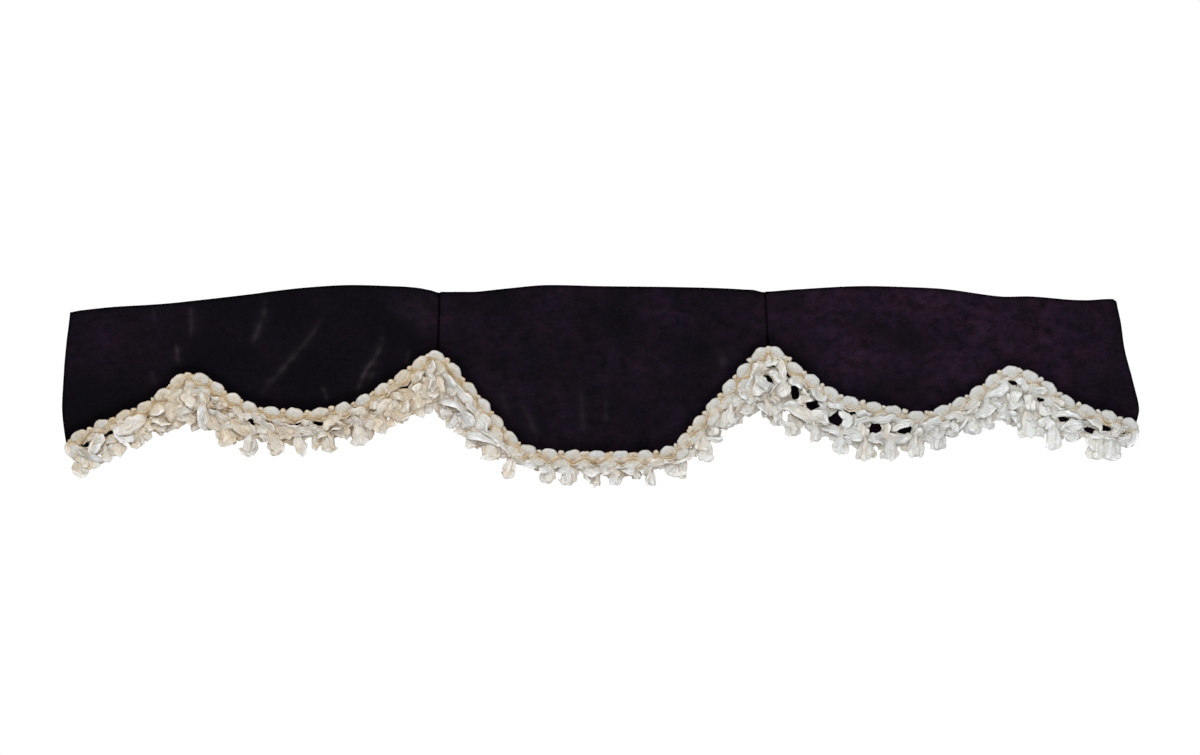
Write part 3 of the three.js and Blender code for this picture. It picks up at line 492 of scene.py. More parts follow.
# ------------------------------------------------------------------ panels
def panel(name, left_line, right_line, left_end, right_end):
    """A closed sheet on its solid's folds, with hems and seam edges turned to the back."""
    inset = SEAM_GAP / 2 + CLOTH / 2 + SEAM_ROUND
    wide = float(right_line(-100) - left_line(-100))
    left = inset if left_end == "seam" else 0.0
    right = inset if right_end == "seam" else 0.0
    edge = HEM / 2

    # Columns: share across, shift in from a side, roundness, thickness, turn and depth of a seam.
    plain, cols = 3.2, []
    rounds = [(edge * (1 - math.cos(a)), math.sin(a)) for a in np.linspace(0, math.pi / 2, 5)]
    side = [(d, f, HEM) for d, f in rounds] + [(d, 1, HEM) for d in (6, 10, 14, 18, HEM_SIDE)]
    side += [(HEM_SIDE + 0.5, 1, 3.4), (HEM_SIDE + 1.0, 1, CLOTH)]
    turns = [(90, 14), (90, 10), (90, 6), (90, SEAM_ROUND)]
    turns += [(a, SEAM_ROUND * (1 - math.cos(math.radians(a)))) for a in (75, 60, 45, 30, 15)]
    start = (HEM_SIDE + 1.0) / wide if left_end == "hem" else 0.0
    stop = 1 - (HEM_SIDE + 1.0) / wide if right_end == "hem" else 1.0
    if left_end == "hem":
        cols += [(0.0, d, f, t, 0, 0, 0) for d, f, t in side]
    else:
        cols += [(0.0, 0.0, 1, CLOTH, a, b, -1) for a, b in turns] + [(0.0, 0.0, 1, CLOTH, 0, 0, 0)]
    many = int(round((stop - start) * wide / plain))
    cols += [(start + (stop - start) * i / many, 0.0, 1, CLOTH, 0, 0, 0) for i in range(1, many)]
    if right_end == "hem":
        cols += [(1.0, -d, f, t, 0, 0, 0) for d, f, t in reversed(side)]
    else:
        cols += [(1.0, 0.0, 1, CLOTH, 0, 0, 0)]
        cols += [(1.0, 0.0, 1, CLOTH, a, b, 1) for a, b in reversed(turns)]
    share, shift, round_c, thick_c, turn, back, way = (np.array(c, float)[None, :] for c in zip(*cols))
    at_seam = (turn > 0) | ((share == 0) & (left_end == "seam")) | ((share == 1) & (right_end == "seam"))

    # Rows: from the rounded top down the hem, the face and the part behind the fringe.
    rows = [("top", d, f, HEM) for d, f in rounds]
    rows += [("top", d, 1, HEM) for d in (6, 11, 16, 21, 25, HEM_TOP)]
    rows += [("top", HEM_TOP + 0.5, 1, 3.4), ("top", HEM_TOP + 1.0, 1, CLOTH)]
    rows += [("face", (i + 1) / 58, 1, CLOTH) for i in range(58)]
    rows += [("foot", (i + 1) / 8, 1, CLOTH) for i in range(7)] + [("foot", 1.0, 0.5, CLOTH)]
    down = np.array([r[1] for r in rows], float)[:, None]
    round_r = np.array([r[2] for r in rows], float)[:, None]
    thick_r = np.array([r[3] for r in rows], float)[:, None]
    kind = np.array([{"top": 0, "face": 1, "foot": 2}[r[0]] for r in rows])[:, None]

    x = float(left_line(-100)) + share * wide + shift + 0 * down
    for _ in range(14):
        top = top_edge(x)
        body = top - HEM_TOP - 1.0
        flat = scallop(x) + FLAT_ABOVE
        z = np.where(kind == 0, top - down,
                     np.where(kind == 1, body + (flat - body) * down,
                              flat + (cut_edge(x) - flat) * down))
        a, b = left_line(z) + left, right_line(z) - right
        x = a + (b - a) * share + shift

    thick = np.where(at_seam, CLOTH, np.maximum(thick_r + 0 * thick_c, thick_c + 0 * thick_r))
    roundness = round_r * round_c
    y = cloth_y(x, z) - face_lift(x, z)
    front_y = y - CLOTH / 2 + thick / 2 * (1 - roundness)
    back_y = y - CLOTH / 2 + thick / 2 * (1 + roundness)
    front = np.stack([x, front_y, z], -1)
    rear = np.stack([x, back_y, z], -1)
    # Seam edges: the cloth turns to the back round a small radius.
    ang = np.radians(turn)
    cx = x + way * SEAM_ROUND * np.sin(ang)
    cy = y + back
    nx = way * np.sin(ang) * (CLOTH / 2) * round_r
    ny = -np.cos(ang) * (CLOTH / 2) * round_r
    turned = np.broadcast_to(turn > 0, x.shape)
    front[turned] = np.stack([cx + nx, cy + ny, z], -1)[turned]
    rear[turned] = np.stack([cx - nx, cy - ny, z], -1)[turned]

    nr, nc = x.shape
    index = np.arange(nr * nc).reshape(nr, nc)
    F, B = index, index + nr * nc
    faces = []
    faces.append(np.stack([F[:-1, :-1], F[1:, :-1], F[1:, 1:], F[:-1, 1:]], -1).reshape(-1, 4))
    faces.append(np.stack([B[:-1, :-1], B[:-1, 1:], B[1:, 1:], B[1:, :-1]], -1).reshape(-1, 4))
    faces.append(np.stack([F[:-1, 0], B[:-1, 0], B[1:, 0], F[1:, 0]], -1))
    faces.append(np.stack([F[:-1, -1], F[1:, -1], B[1:, -1], B[:-1, -1]], -1))
    faces.append(np.stack([F[0, :-1], F[0, 1:], B[0, 1:], B[0, :-1]], -1))
    faces.append(np.stack([F[-1, :-1], B[-1, :-1], B[-1, 1:], F[-1, 1:]], -1))
    faces = np.concatenate(faces)
    points = np.concatenate([front.reshape(-1, 3), rear.reshape(-1, 3)]) * MM

    mesh = bpy.data.meshes.new(name)
    mesh.from_pydata(points.tolist(), [], faces.tolist())
    shine = np.concatenate([crease_highlight(x, z).ravel(), np.zeros(nr * nc)])
    # The right panel's pile is the most disturbed, the left one's the least.
    mottle_and_sheen = 0.09 + 0.20 * (1 - ramp((x + 900) / 170)) * ramp((z + 250) / 140) + 0.30 * ramp((x + 420) / 140) + 0.50 * ramp((x - 280) / 200)
    mottle_and_sheen = mottle_and_sheen + 0.10 * ramp((x - 280) / 200) + (0.04 + 0.06 * ramp((x + 420) / 140)) * clouds(x, z)
    # Some patches paint sheen: the first three lighten the mottle where a fan of folds by the left seam shines.
    for px, pz, rx, rz, more in PATCHES:
        mottle_and_sheen = mottle_and_sheen + more * np.exp(-((x - px) / rx) ** 2 - ((z - pz) / rz) ** 2)
    mottle_and_sheen = np.concatenate([mottle_and_sheen.ravel(), mottle_and_sheen.ravel() * 0.3])
    # Painted shade: colour, sheen and gloss are darkened at the top edge, along the side edges and seams, and next to
    # the fringe.
    rim = np.minimum(np.abs(x - side_left(z)), np.abs(x - side_right(z)))
    painted_shade_factor = 1 - 0.85 * np.exp(-((top_edge(x) - z) / 4.2) ** 2) - 0.80 * np.exp(-(rim / 4.0) ** 2)
    painted_shade_factor = painted_shade_factor - 1.35 * np.exp(-((cx - seam_left(z)) / 2.5) ** 2) - 1.05 * np.exp(-((cx - seam_right(z)) / 2.5) ** 2)
    painted_shade_factor = painted_shade_factor - 0.50 * np.exp(-(np.maximum(z - scallop(x), 0) / 16) ** 2)
    painted_shade_factor = np.tile(np.clip(painted_shade_factor, 0.01, 1).ravel(), 2)
    for label, values in (("shine", shine), ("mottle_and_sheen", np.clip(mottle_and_sheen, 0, 1.5)), ("painted_shade_factor", painted_shade_factor)):
        layer = mesh.attributes.new(label, "FLOAT", "POINT")
        layer.data.foreach_set("value", values.astype(np.float32))
    work = bmesh.new()
    work.from_mesh(mesh)
    bmesh.ops.remove_doubles(work, verts=work.verts, dist=1e-6)
    bmesh.ops.recalc_face_normals(work, faces=work.faces)
    work.to_mesh(mesh)
    work.free()
    mesh.polygons.foreach_set("use_smooth", np.ones(len(mesh.polygons), bool))
    mesh.update()
    thing = bpy.data.objects.new(name, mesh)
    bpy.context.scene.collection.objects.link(thing)
    return thing


# ------------------------------------------------------------------ yarn
def frame_of(path):
    """Along, across and forward at each point of a path (n, 3)."""
    along = np.gradient(path, axis=0)
    along /= np.linalg.norm(along, axis=1, keepdims=True) + 1e-9
    out = np.zeros_like(along)
    out[:, 1] = -1.0
    out -= (out * along).sum(1, keepdims=True) * along
    size = np.linalg.norm(out, axis=1, keepdims=True)
    spare = np.zeros_like(along)
    spare[:, 0] = 1.0
    out = np.where(size < 0.15, spare - (spare * along).sum(1, keepdims=True) * along, out)
    out /= np.linalg.norm(out, axis=1, keepdims=True) + 1e-9
    return along, np.cross(along, out), out


class Yarn:
    """Strands, flat rovings, shells and bells of yarn joined in one mesh."""

    def __init__(self, name):
        self.name, self.count = name, 0
        self.points, self.quads, self.caps, self.uvs, self.tints = [], [], [], [], []

    def _add(self, points, tints, quads, caps, uv, flip):
        if flip:
            quads, caps, uv = quads[:, ::-1], [cap[::-1] for cap in caps], uv[:, ::-1]
        self.points.append(points.reshape(-1, 3))
        self.tints.append(np.clip(np.broadcast_to(tints, points.shape), 0, 1).reshape(-1, 3))
        self.quads.append(quads)
        self.caps += [cap.tolist() for cap in caps]
        self.uvs.append(uv)
        self.count += points.shape[0] * points.shape[1]

    def loft(self, rings, tints, spots=None):
        """Closed body through rings (n, k, 3), capped at both ends; spots (n, k, 2) for the fibres."""
        n, k, _ = rings.shape
        idx = self.count + np.arange(n * k).reshape(n, k)
        nxt = np.roll(idx, -1, axis=1)
        quads = np.stack([idx[:-1], nxt[:-1], nxt[1:], idx[1:]], -1).reshape(-1, 4)
        around_next = np.roll(rings, -1, axis=1)
        middle = rings.reshape(-1, 3).mean(0)
        a, b, c = rings[:-1] - middle, around_next[:-1] - middle, around_next[1:] - middle
        volume = (np.cross(a, b) * c).sum()
        run = np.concatenate([[0], np.cumsum(np.linalg.norm(np.diff(rings.mean(1), axis=0), axis=1))])
        lap = np.concatenate([[0], np.cumsum(np.linalg.norm(around_next - rings, axis=2).mean(0))])
        run, lap = run + rng.uniform(0, 4000), lap + rng.uniform(0, 400)
        u0, u1 = np.broadcast_to(run[:-1, None], (n - 1, k)), np.broadcast_to(run[1:, None], (n - 1, k))
        v0, v1 = np.broadcast_to(lap[None, :-1], (n - 1, k)), np.broadcast_to(lap[None, 1:], (n - 1, k))
        uv = np.stack([np.stack(p, -1) for p in ((u0, v0), (u0, v1), (u1, v1), (u1, v0))], 2).reshape(-1, 4, 2)
        if spots is not None:
            beside = np.roll(spots, -1, axis=1)
            uv = np.stack([spots[:-1], beside[:-1], beside[1:], spots[1:]], 2).reshape(-1, 4, 2)
        self._add(rings, tints, quads, [idx[0, ::-1], idx[-1]], uv, volume < 0)

    def strand(self, path, radius, sides, tint):
        """Round strand along a path (n, 3)."""
        _, side, out = frame_of(path)
        turn = np.arange(sides) * (2 * math.pi / sides)
        radius = np.broadcast_to(radius, len(path))[:, None, None]
        rings = path[:, None] + radius * (np.cos(turn)[None, :, None] * side[:, None]
                                          + np.sin(turn)[None, :, None] * out[:, None])
        self.loft(rings, np.broadcast_to(tint, (len(path), 3))[:, None])

    def ribbon(self, path, wide, deep, tint, roll=0.0, plies=4, relief=1.1, edge=0.35, fine=True):
        """Flat roving of a few soft plies side by side, along a path (n, 3)."""
        n = len(path)
        t = np.linspace(0, 1, n)[:, None]
        _, side, out = frame_of(path)
        turn = np.concatenate([np.linspace(0, math.pi, 19 if fine else 12), np.linspace(math.pi, 2 * math.pi, 5)[1:-1]])
        u, v = np.cos(turn)[None], np.sin(turn)[None]
        face = np.maximum(v, 0) ** 0.6
        ply = np.abs(np.sin(0.5 * math.pi * plies * u + rng.uniform(0, 3.1) + rng.normal(0, 0.7) * t
                            + 0.35 * np.sin(2 * math.pi * (rng.uniform(0.6, 1.4) * t + rng.uniform(0, 1)))))
        swell = 1 + 0.10 * np.sin(2 * math.pi * (rng.uniform(0.8, 1.8) * t + rng.uniform(0, 1)))
        swell = swell * (1 + 0.05 * np.sin(2 * math.pi * (2.7 * t + rng.uniform(0, 1)) + 2 * u))
        blunt = np.ones((n, 1))
        blunt[0], blunt[-1] = 0.6, 0.6
        a = np.broadcast_to(wide, n)[:, None] / 2 * u * swell * blunt
        b = np.broadcast_to(deep, n)[:, None] / 2 * np.sign(v) * np.abs(v) ** 0.8 * blunt
        b = b + relief * (ply - 0.62) * face
        c, s = np.cos(np.broadcast_to(roll, n))[:, None], np.sin(np.broadcast_to(roll, n))[:, None]
        a, b = a * c - b * s, a * s + b * c
        rings = path[:, None] + a[..., None] * side[:, None] + b[..., None] * out[:, None]
        # Painted shade in the grooves between plies and on the edges and underside.
        shade = 1 - 0.24 * (1 - ply) * face + 0.03 * np.sin(3.1 * u + rng.uniform(0, 6))
        tint = np.broadcast_to(tint, (n, 3))[:, None] * shade[..., None]
        shaded = (edge * edge_shade_at(path[:, :1]) * (u ** 4 * 0.8 + 0.5 * (1 - face)))[..., None]
        tint = tint + (painted_shade_at(path[:, 0])[:, None] - tint) * np.clip(shaded, 0, 1)
        self.loft(rings, tint)

    def build(self):
        points = np.concatenate(self.points) * MM
        faces = np.concatenate(self.quads).tolist() + self.caps
        mesh = bpy.data.meshes.new(self.name)
        mesh.from_pydata(points.tolist(), [], faces)
        layer = mesh.uv_layers.new(name="along")
        uv = np.zeros((len(mesh.loops), 2), np.float32)
        flat = np.concatenate(self.uvs).reshape(-1, 2) * 0.01
        uv[:len(flat)] = flat
        layer.data.foreach_set("uv", uv.ravel())
        tint = mesh.attributes.new("tint", "FLOAT_COLOR", "POINT")
        colour = np.ones((self.count, 4), np.float32)
        colour[:, :3] = np.concatenate(self.tints)
        tint.data.foreach_set("color", colour.ravel())
        mesh.polygons.foreach_set("use_smooth", np.ones(len(mesh.polygons), bool))
        mesh.update()
        thing = bpy.data.objects.new(self.name, mesh)
        bpy.context.scene.collection.objects.link(thing)
        return thing


def rounded_ends(radii, share=0.35):
    radii = np.array(radii, float)
    radii[..., 0] *= share
    radii[..., -1] *= share
    return radii


# Yarn colours (linear): warm cream on the left, cool white on the right, ochre for the binding, the warm painted shade
# of yarn that is tucked under other yarn, and a cool painted highlight for yarn that stands proud.
CREAM = np.array([0.655, 0.580, 0.460])
WHITE = np.array([0.602, 0.616, 0.606])
OCHRE = np.array([0.34, 0.222, 0.105])
PICOT = np.array([0.56, 0.46, 0.31])
PAINTED_HIGHLIGHT = np.array([0.900, 0.908, 0.922])
SHADE_LEFT, SHADE_RIGHT = np.array([0.46, 0.290, 0.130]), np.array([0.40, 0.345, 0.265])
STAIN_LEFT, STAIN_RIGHT = np.array([0.475, 0.355, 0.200]), np.array([0.465, 0.395, 0.275])
# Strength of the painted shade on yarn that lies below its neighbours.
RECESS_SHADE = 0.54
warmth = Soft(11, 140)


def yarn_tint(x, warm=0.0):
    """Colour of the yarn along the edge, with soft random warmth."""
    x = np.asarray(x, float)
    cool = 0.35 + 0.28 * ramp((x + 430) / 200) + 0.29 * ramp(x / 600)
    cool = np.clip(cool + 0.14 * warmth(x, x * 0.3) - warm, 0, 1)
    return (CREAM + (WHITE - CREAM) * cool[..., None]) * (1 + 0.07 * ramp((x - 640) / 160))[..., None]


def painted_shade_at(x):
    """Painted shade colour of yarn that is tucked under other yarn, warmer on the left."""
    side = ramp((np.asarray(x, float) + 100) / 700)
    return SHADE_LEFT + (SHADE_RIGHT - SHADE_LEFT) * side[..., None]


def stain_at(x):
    """Colour of the heading's yarn where it is drawn together."""
    side = ramp((np.asarray(x, float) + 100) / 600)
    return STAIN_LEFT + (STAIN_RIGHT - STAIN_LEFT) * side[..., None]


def edge_shade_at(x):
    """How strongly the rovings' edges and undersides are darkened with painted shade, more on the left."""
    return 0.95 - 0.35 * ramp((np.asarray(x, float) + 150) / 500)


# ------------------------------------------------------------------ the edge that the fringe follows
edge_x = np.arange(-1056.0, 1056.5, 1.0)
edge_z = scallop(edge_x)
edge_s = np.concatenate([[0], np.cumsum(np.hypot(np.diff(edge_x), np.diff(edge_z)))])


def slope_over(x, reach):
    return np.arctan((scallop(x + reach) - scallop(x - reach)) / (2 * reach))


lean_near, lean_far = slope_over(edge_x, 15.0), slope_over(edge_x, 40.0)


def from_edge(s, a):
    """Place on the face: s along the crown line, a down from it, square on at first, then hanging."""
    s, a = np.broadcast_arrays(np.asarray(s, float), np.asarray(a, float))
    x, z = np.interp(s, edge_s, edge_x), np.interp(s, edge_s, edge_z)
    near, far = np.interp(s, edge_s, lean_near), np.interp(s, edge_s, lean_far)
    hang = ramp((a - 22) / 60)
    lean = near * (1 - hang) + HANG_TURN * far * hang
    return x + a * np.sin(lean), z - a * np.cos(lean)


def fringe_back(x, z):
    return cloth_y(x, z) - CLOTH / 2 - FRINGE_GAP


def lay(x, z, forward):
    """Points (.., 3) a given way forward of the fringe's back."""
    x, z, forward = np.broadcast_arrays(np.asarray(x, float), np.asarray(z, float), np.asarray(forward, float))
    return np.stack([x, fringe_back(x, z) - forward, z], -1)


LOBE_S = np.interp(LOBE_X, np.maximum.accumulate(from_edge(edge_s, 11.0)[0]), edge_s)
HALF_S = (LOBE_S[1:] + LOBE_S[:-1]) / 2
FIRST_S = float(np.interp(-1040, edge_x, edge_s))
LAST_S = float(np.interp(1040, edge_x, edge_s))


PUFF_R = np.array([0.10, 0.22, 0.33, 0.43, 0.52, 0.60, 0.68, 0.75, 0.82, 0.88, 0.93, 0.97, 1.0])[:, None]


def cushion(yarn, s, a, wide, outer, inner, way, high, base, tone, lines):
    """Puffed half disc of roving, round towards way (-1 up, 1 down), with its yarn laid in arcs."""
    k = 28
    turn = (np.arange(k) * (2 * math.pi / k))[None, :]
    c, o = np.cos(turn), np.sin(turn)
    power = np.where(o > 0, 2.05, 3.0)
    reach = (np.abs(c / wide) ** power + np.abs(o / np.where(o > 0, outer, inner)) ** power) ** (-1 / power)
    reach = reach * (1 + 0.025 * np.sin(3 * turn + rng.uniform(0, 6)) + 0.02 * np.sin(5 * turn + rng.uniform(0, 6)))
    tip = float(np.interp(s, edge_s, lean_near)) + rng.normal(0, 0.06)
    ox, oz = from_edge(s, a)
    across, down = PUFF_R * reach * c, way * PUFF_R * reach * o
    x = ox + across * math.cos(tip) + down * math.sin(tip)
    z = oz + across * math.sin(tip) - down * math.cos(tip)
    inward = np.clip(-o * PUFF_R, 0, 1)
    puff = np.sqrt(1 - PUFF_R ** 3.4) * (1 - 0.45 * inward ** 1.2) * (1 - 0.22 * (1 - PUFF_R) ** 2)
    line = np.abs(np.sin(math.pi * lines * PUFF_R + 0.5 * np.sin(2 * turn + rng.uniform(0, 6)) + rng.uniform(0, 3)))
    ruffle = 0.25 * np.sin(2 * turn + 4 * PUFF_R + rng.uniform(0, 6))
    forward = base + high * puff + (0.85 * (line - 0.6) + ruffle) * np.sqrt(1 - PUFF_R ** 6)
    # Painted shade: the grooves between the arcs, the rim and the drawn-in underside are darkened.
    shade = 1 - 0.20 * (1 - line) * np.sqrt(1 - PUFF_R ** 8)
    tint = tone * shade[..., None]
    tint = tint + (stain_at(x) - tint) * np.clip(0.95 * inward ** 1.1, 0, 0.75)[..., None]
    tint = tint + (painted_shade_at(x) - tint) * (0.16 * PUFF_R ** 10 + 0.20 * inward ** 3)[..., None]
    front = lay(x, z, forward)
    back = lay(ox + (x[-1:] - ox) * 0.93, oz + (z[-1:] - oz) * 0.93, 0.8 + 0 * x[-1:])
    spots = np.stack([turn * 15 + 97 * s + 0 * PUFF_R, PUFF_R * 16 + 0 * turn], -1)
    yarn.loft(np.concatenate([front, back]), np.concatenate([tint, tint[-1:]]), np.concatenate([spots, spots[-1:]]))


def room_for(s, a, wide, outer):
    """How far down a loop may reach without closing a gap of the net."""
    turn = np.linspace(0.15, 0.85, 9) * math.pi
    while outer > 7.0:
        x, z = from_edge(s + wide * np.cos(turn), a + outer * np.sin(turn))
        if not any(in_gap(px, pz, 0.0) for px, pz in zip(x, z)):
            break
        outer -= 1.0
    return outer


def bead(yarn, x, z, forward, rx, ry, rz, tone):
    """Small lump of yarn, wound slantwise."""
    n, k = 8, 14
    polar = np.linspace(0.12, math.pi - 0.12, n)[:, None]
    turn = (np.arange(k) * (2 * math.pi / k))[None, :]
    lean = rng.uniform(-0.6, 0.6)
    p = rng.uniform(0, 6, 3)
    swell = 1 + 0.10 * np.sin(2 * turn + p[0]) * np.sin(polar) + 0.06 * np.sin(3 * turn + p[1])
    u, v = rx * np.sin(polar) * np.cos(turn) * swell, rz * np.sin(polar) * np.sin(turn) * swell
    wound = np.abs(np.sin(1.15 * (u * math.cos(lean + 0.8) + v * math.sin(lean + 0.8)) / 2.2 + p[2]))
    px, pz = x + u * math.cos(lean) - v * math.sin(lean), z + u * math.sin(lean) + v * math.cos(lean)
    rings = lay(np.full_like(px, x), np.full_like(px, z), forward)
    rings[..., 0], rings[..., 2] = px, pz
    rings[..., 1] = rings[..., 1] - ry * np.cos(polar) - 0.5 * (wound - 0.6) * np.sin(2 * polar).clip(0)
    # Painted shade in the grooves of the winding and round the bead's outline.
    tint = tone * (1 - 0.22 * (1 - wound))[..., None]
    tint = tint + (painted_shade_at(px) - tint) * (0.5 * np.sin(polar) ** 6 + 0 * turn)[..., None]
    yarn.loft(rings, tint)


def heading(yarn):
    """Sinuous roving: puffed domes above, softer loops below, lumps in the notches, on a tucked band."""
    # Yarn tucked behind, coloured half with the warm painted shade and half with the stain of drawn yarn.
    s = np.arange(FIRST_S - 3, LAST_S + 3, 2.5)[:, None]
    a = np.array([8.0, 8.8, 11.0, 13.0, 16.0, 19.0, 22.0, 25.0, 28.0, 29.0])[None, :]
    lumps = Soft(21, 13)
    forward = 0.8 + (2.8 + 0.9 * lumps(s, a)) * np.array([0, 0.6, 1, 1, 1, 1, 1, 1, 0.6, 0])[None, :]
    x, z = from_edge(s, a)
    tint = (0.55 * painted_shade_at(x) + 0.45 * stain_at(x)) * (1.0 + 0.14 * lumps(s * 1.7, a * 1.7))[..., None]
    yarn.loft(lay(x, z, np.maximum(forward, 0.8)), tint)

    # Loops below, drawn up to each notch, with half a loop at either end.
    for k in range(LOBES - 1):
        pitch = LOBE_S[k + 1] - LOBE_S[k]
        mid = HALF_S[k] + rng.normal(0, 0.8)
        tone = yarn_tint(np.array([np.interp(mid, edge_s, edge_x)]), rng.normal(-0.06, 0.08))[0] * rng.uniform(0.87, 0.95)
        wide = min(0.50 * pitch, 21.5) * rng.normal(1, 0.04)
        outer = room_for(mid, 22.0, wide, 15.5 * rng.normal(1, 0.08))
        short = 1 - float(ramp((net_depth(np.interp(mid, edge_s, edge_x)) - 56) / 14))
        cushion(yarn, mid, 22.0, wide, outer, 10.0, 1, 5.8 * rng.normal(1, 0.06), 2.2 + 3.2 * short, tone, 3.6)
    for mid, wide in ((LOBE_S[0] - 19, 13.0), (LOBE_S[-1] + 13, 9.0)):
        tone = yarn_tint(np.array([np.interp(mid, edge_s, edge_x)]), 0.2)[0]
        cushion(yarn, mid, 22.0, wide, room_for(mid, 22.0, wide, 13.0), 9.0, 1, 5.4, 1.4, tone, 3.6)

    # Domes above, each with its yarn drawn together below.
    for k in range(LOBES):
        tone = yarn_tint(np.array([LOBE_X[k]]), -0.12 + rng.normal(0, 0.06))[0]
        s = LOBE_S[k] + rng.normal(0, 0.6)
        drawn = tone * 0.95 + (stain_at(LOBE_X[k]) - tone * 0.95) * rng.uniform(0.3, 0.7)
        cushion(yarn, s, 20.5, 14.5, 8.5, 6.5, 1, 4.8, 2.6, drawn, 2.8)
        cushion(yarn, s, 15.6, 19.2 * rng.normal(1, 0.03), 15.2 * rng.normal(1, 0.04), 4.4, -1,
                5.4 * rng.normal(1, 0.06), 2.4, tone * rng.uniform(0.81, 0.87), 4.0)

    # Lumps in the notches.
    for k in range(LOBES - 1):
        wide = 0.5 * max(LOBE_S[k + 1] - LOBE_S[k] - 34.0, 3.0)
        sides = (-0.55, 0.55) if rng.uniform() < 0.30 else (0.0,)
        broad = wide > 6.5
        if broad:
            sides = (-0.75, 0.0, 0.75)
        for side in sides:
            size = float(np.clip((wide + 2.4) * (1.0 if len(sides) == 1 else 0.72) * rng.uniform(0.85, 1.15), 3.8, 7.0))
            sunk = 5.0 * abs(side) + 1.2 if broad else 2.0 * side * rng.normal()
            x, z = from_edge(HALF_S[k] + side * wide, 8.4 + rng.normal(0, 0.9) + sunk)
            x, z = float(x), float(z)
            tone = stain_at(x) + (yarn_tint(np.array([x]))[0] - stain_at(x)) * rng.uniform(0.15, 0.75)
            bead(yarn, x, z, 3.2, size, 3.8, float(np.clip(size * rng.uniform(0.75, 1.05), 4.0, 5.6)), tone)
        for low in range(1 if wide < 5 else 2):
            x, z = from_edge(HALF_S[k] + rng.normal(0, 2.5), 15.0 + 2.5 * low + rng.normal(0, 1.0))
            tone = stain_at(float(x)) * rng.uniform(0.9, 1.1)
            bead(yarn, float(x), float(z), 4.6, rng.uniform(5.0, 7.5), 3.0, rng.uniform(3.6, 4.8), tone)


def binding(yarn):
    """Thread that zigzags between domes and loops, with a knot under every dome."""
    stops, downs = [], []
    for i in range(LOBES):
        stops.append(LOBE_S[i] + rng.normal(0, 1.0))
        downs.append(27.0 + rng.normal(0, 1.0))
        if i < LOBES - 1:
            stops.append(HALF_S[i] + rng.normal(0, 1.0))
            downs.append(14.6 + rng.normal(0, 1.0))
    t = np.arange(len(stops))
    fine = np.linspace(0, len(stops) - 1, (len(stops) - 1) * 10 + 1)
    soft = fine + 0.05 * np.sin(2 * math.pi * fine)
    s, a = np.interp(soft, t, stops), np.interp(soft, t, downs)
    a = np.convolve(np.pad(a, 2, mode="edge"), np.array([1, 2, 3, 2, 1]) / 9, "valid")
    for shift, lift, size, thread in ((-0.9, 7.4, 1.15, True), (1.6, 7.1, 1.0, True), (3.8, 6.6, 1.3, False)):
        sway = rng.uniform(0, 6)
        sx, sz = from_edge(s, a + shift + 0.6 * np.sin(fine * 2.3 + sway) + 0.35 * np.sin(fine * 7.1 + sway))
        short = 1 - ramp((net_depth(sx) - 56) / 14)
        path = lay(sx, sz, lift + 2.9 * short + 0.6 * np.sin(fine * 1.7 + sway))
        if thread:
            tint = OCHRE * (0.95 + 0.25 * np.clip(warmth(sx * 3, sz), -1, 1))[:, None]
            pale = 0.10 + 0.30 * ramp((sx - 250) / 250) + 0.24 * warmth(sx * 5, sz * 5)
        else:
            tint = PICOT * (0.98 + 0.10 * np.clip(warmth(sx * 4, sz), -1, 1))[:, None]
            pale = 0.35 + 0.15 * ramp((sx - 250) / 250) + 0.35 * warmth(sx * 5 + 90 * shift, sz * 5)
        tint = tint + (yarn_tint(sx) - tint) * np.clip(pale, 0, 0.85)[:, None]
        for turn in (0.0, math.pi):
            ply = np.stack([np.sin(fine * 9 + turn), np.zeros_like(fine), np.cos(fine * 9 + turn)], -1)
            yarn.strand(path + 0.55 * size * ply, size, 5, tint)
    for i in range(LOBES):
        turn = np.linspace(-0.6 * math.pi, 0.6 * math.pi, 9)
        x, z = from_edge(LOBE_S[i] + rng.normal(0, 1) + 3.2 * np.sin(turn), 27.5 + 1.2 * np.cos(turn))
        tint = OCHRE * rng.uniform(0.6, 1.1) + 0.0 * x[:, None]
        short = 1 - ramp((net_depth(x) - 56) / 14)
        yarn.strand(lay(x, z, 4.6 + 2.6 * short + 3.0 * np.cos(turn)), rounded_ends(np.full(9, 1.4)), 6, tint)


def clear_gaps(path, half):
    """Lead a path in the face round the net's gaps, on one side of each."""
    path = path.copy()
    for turn in range(4):
        for gx, gz, wide, high, tilt in GAPS:
            c, s = math.cos(math.radians(tilt)), math.sin(math.radians(tilt))
            dx, dz = path[:, 0] - gx, path[:, 1] - gz
            ru, rv = wide / 2 + half, high / 2 + half
            u, v = (dx * c + dz * s) / ru, (-dx * s + dz * c) / rv
            inside = np.flatnonzero(np.hypot(u, v) < 1)
            if not len(inside):
                continue
            first, last = max(inside[0] - 1, 0), min(inside[-1] + 1, len(path) - 1)
            wu, wv = u[last] - u[first], v[last] - v[first]
            size = math.hypot(wu, wv)
            wu, wv = (wu / size, wv / size) if size > 1e-6 else (1.0, 0.0)
            off = (-u[inside] * wv + v[inside] * wu).mean()
            side = 1.0 if off >= 0 else -1.0
            on = u[inside] * wu + v[inside] * wv
            out = side * np.sqrt(np.maximum(1 - on * on, 0))
            nu, nv = on * wu - out * wv, on * wv + out * wu
            nu, nv = nu * ru, nv * rv
            path[inside, 0], path[inside, 1] = gx + nu * c - nv * s, gz + nu * s + nv * c
        if turn < 3:
            inner = (path[:-2] + 2 * path[1:-1] + path[2:]) / 4
            path[1:-1] = 0.5 * path[1:-1] + 0.5 * inner
    return path


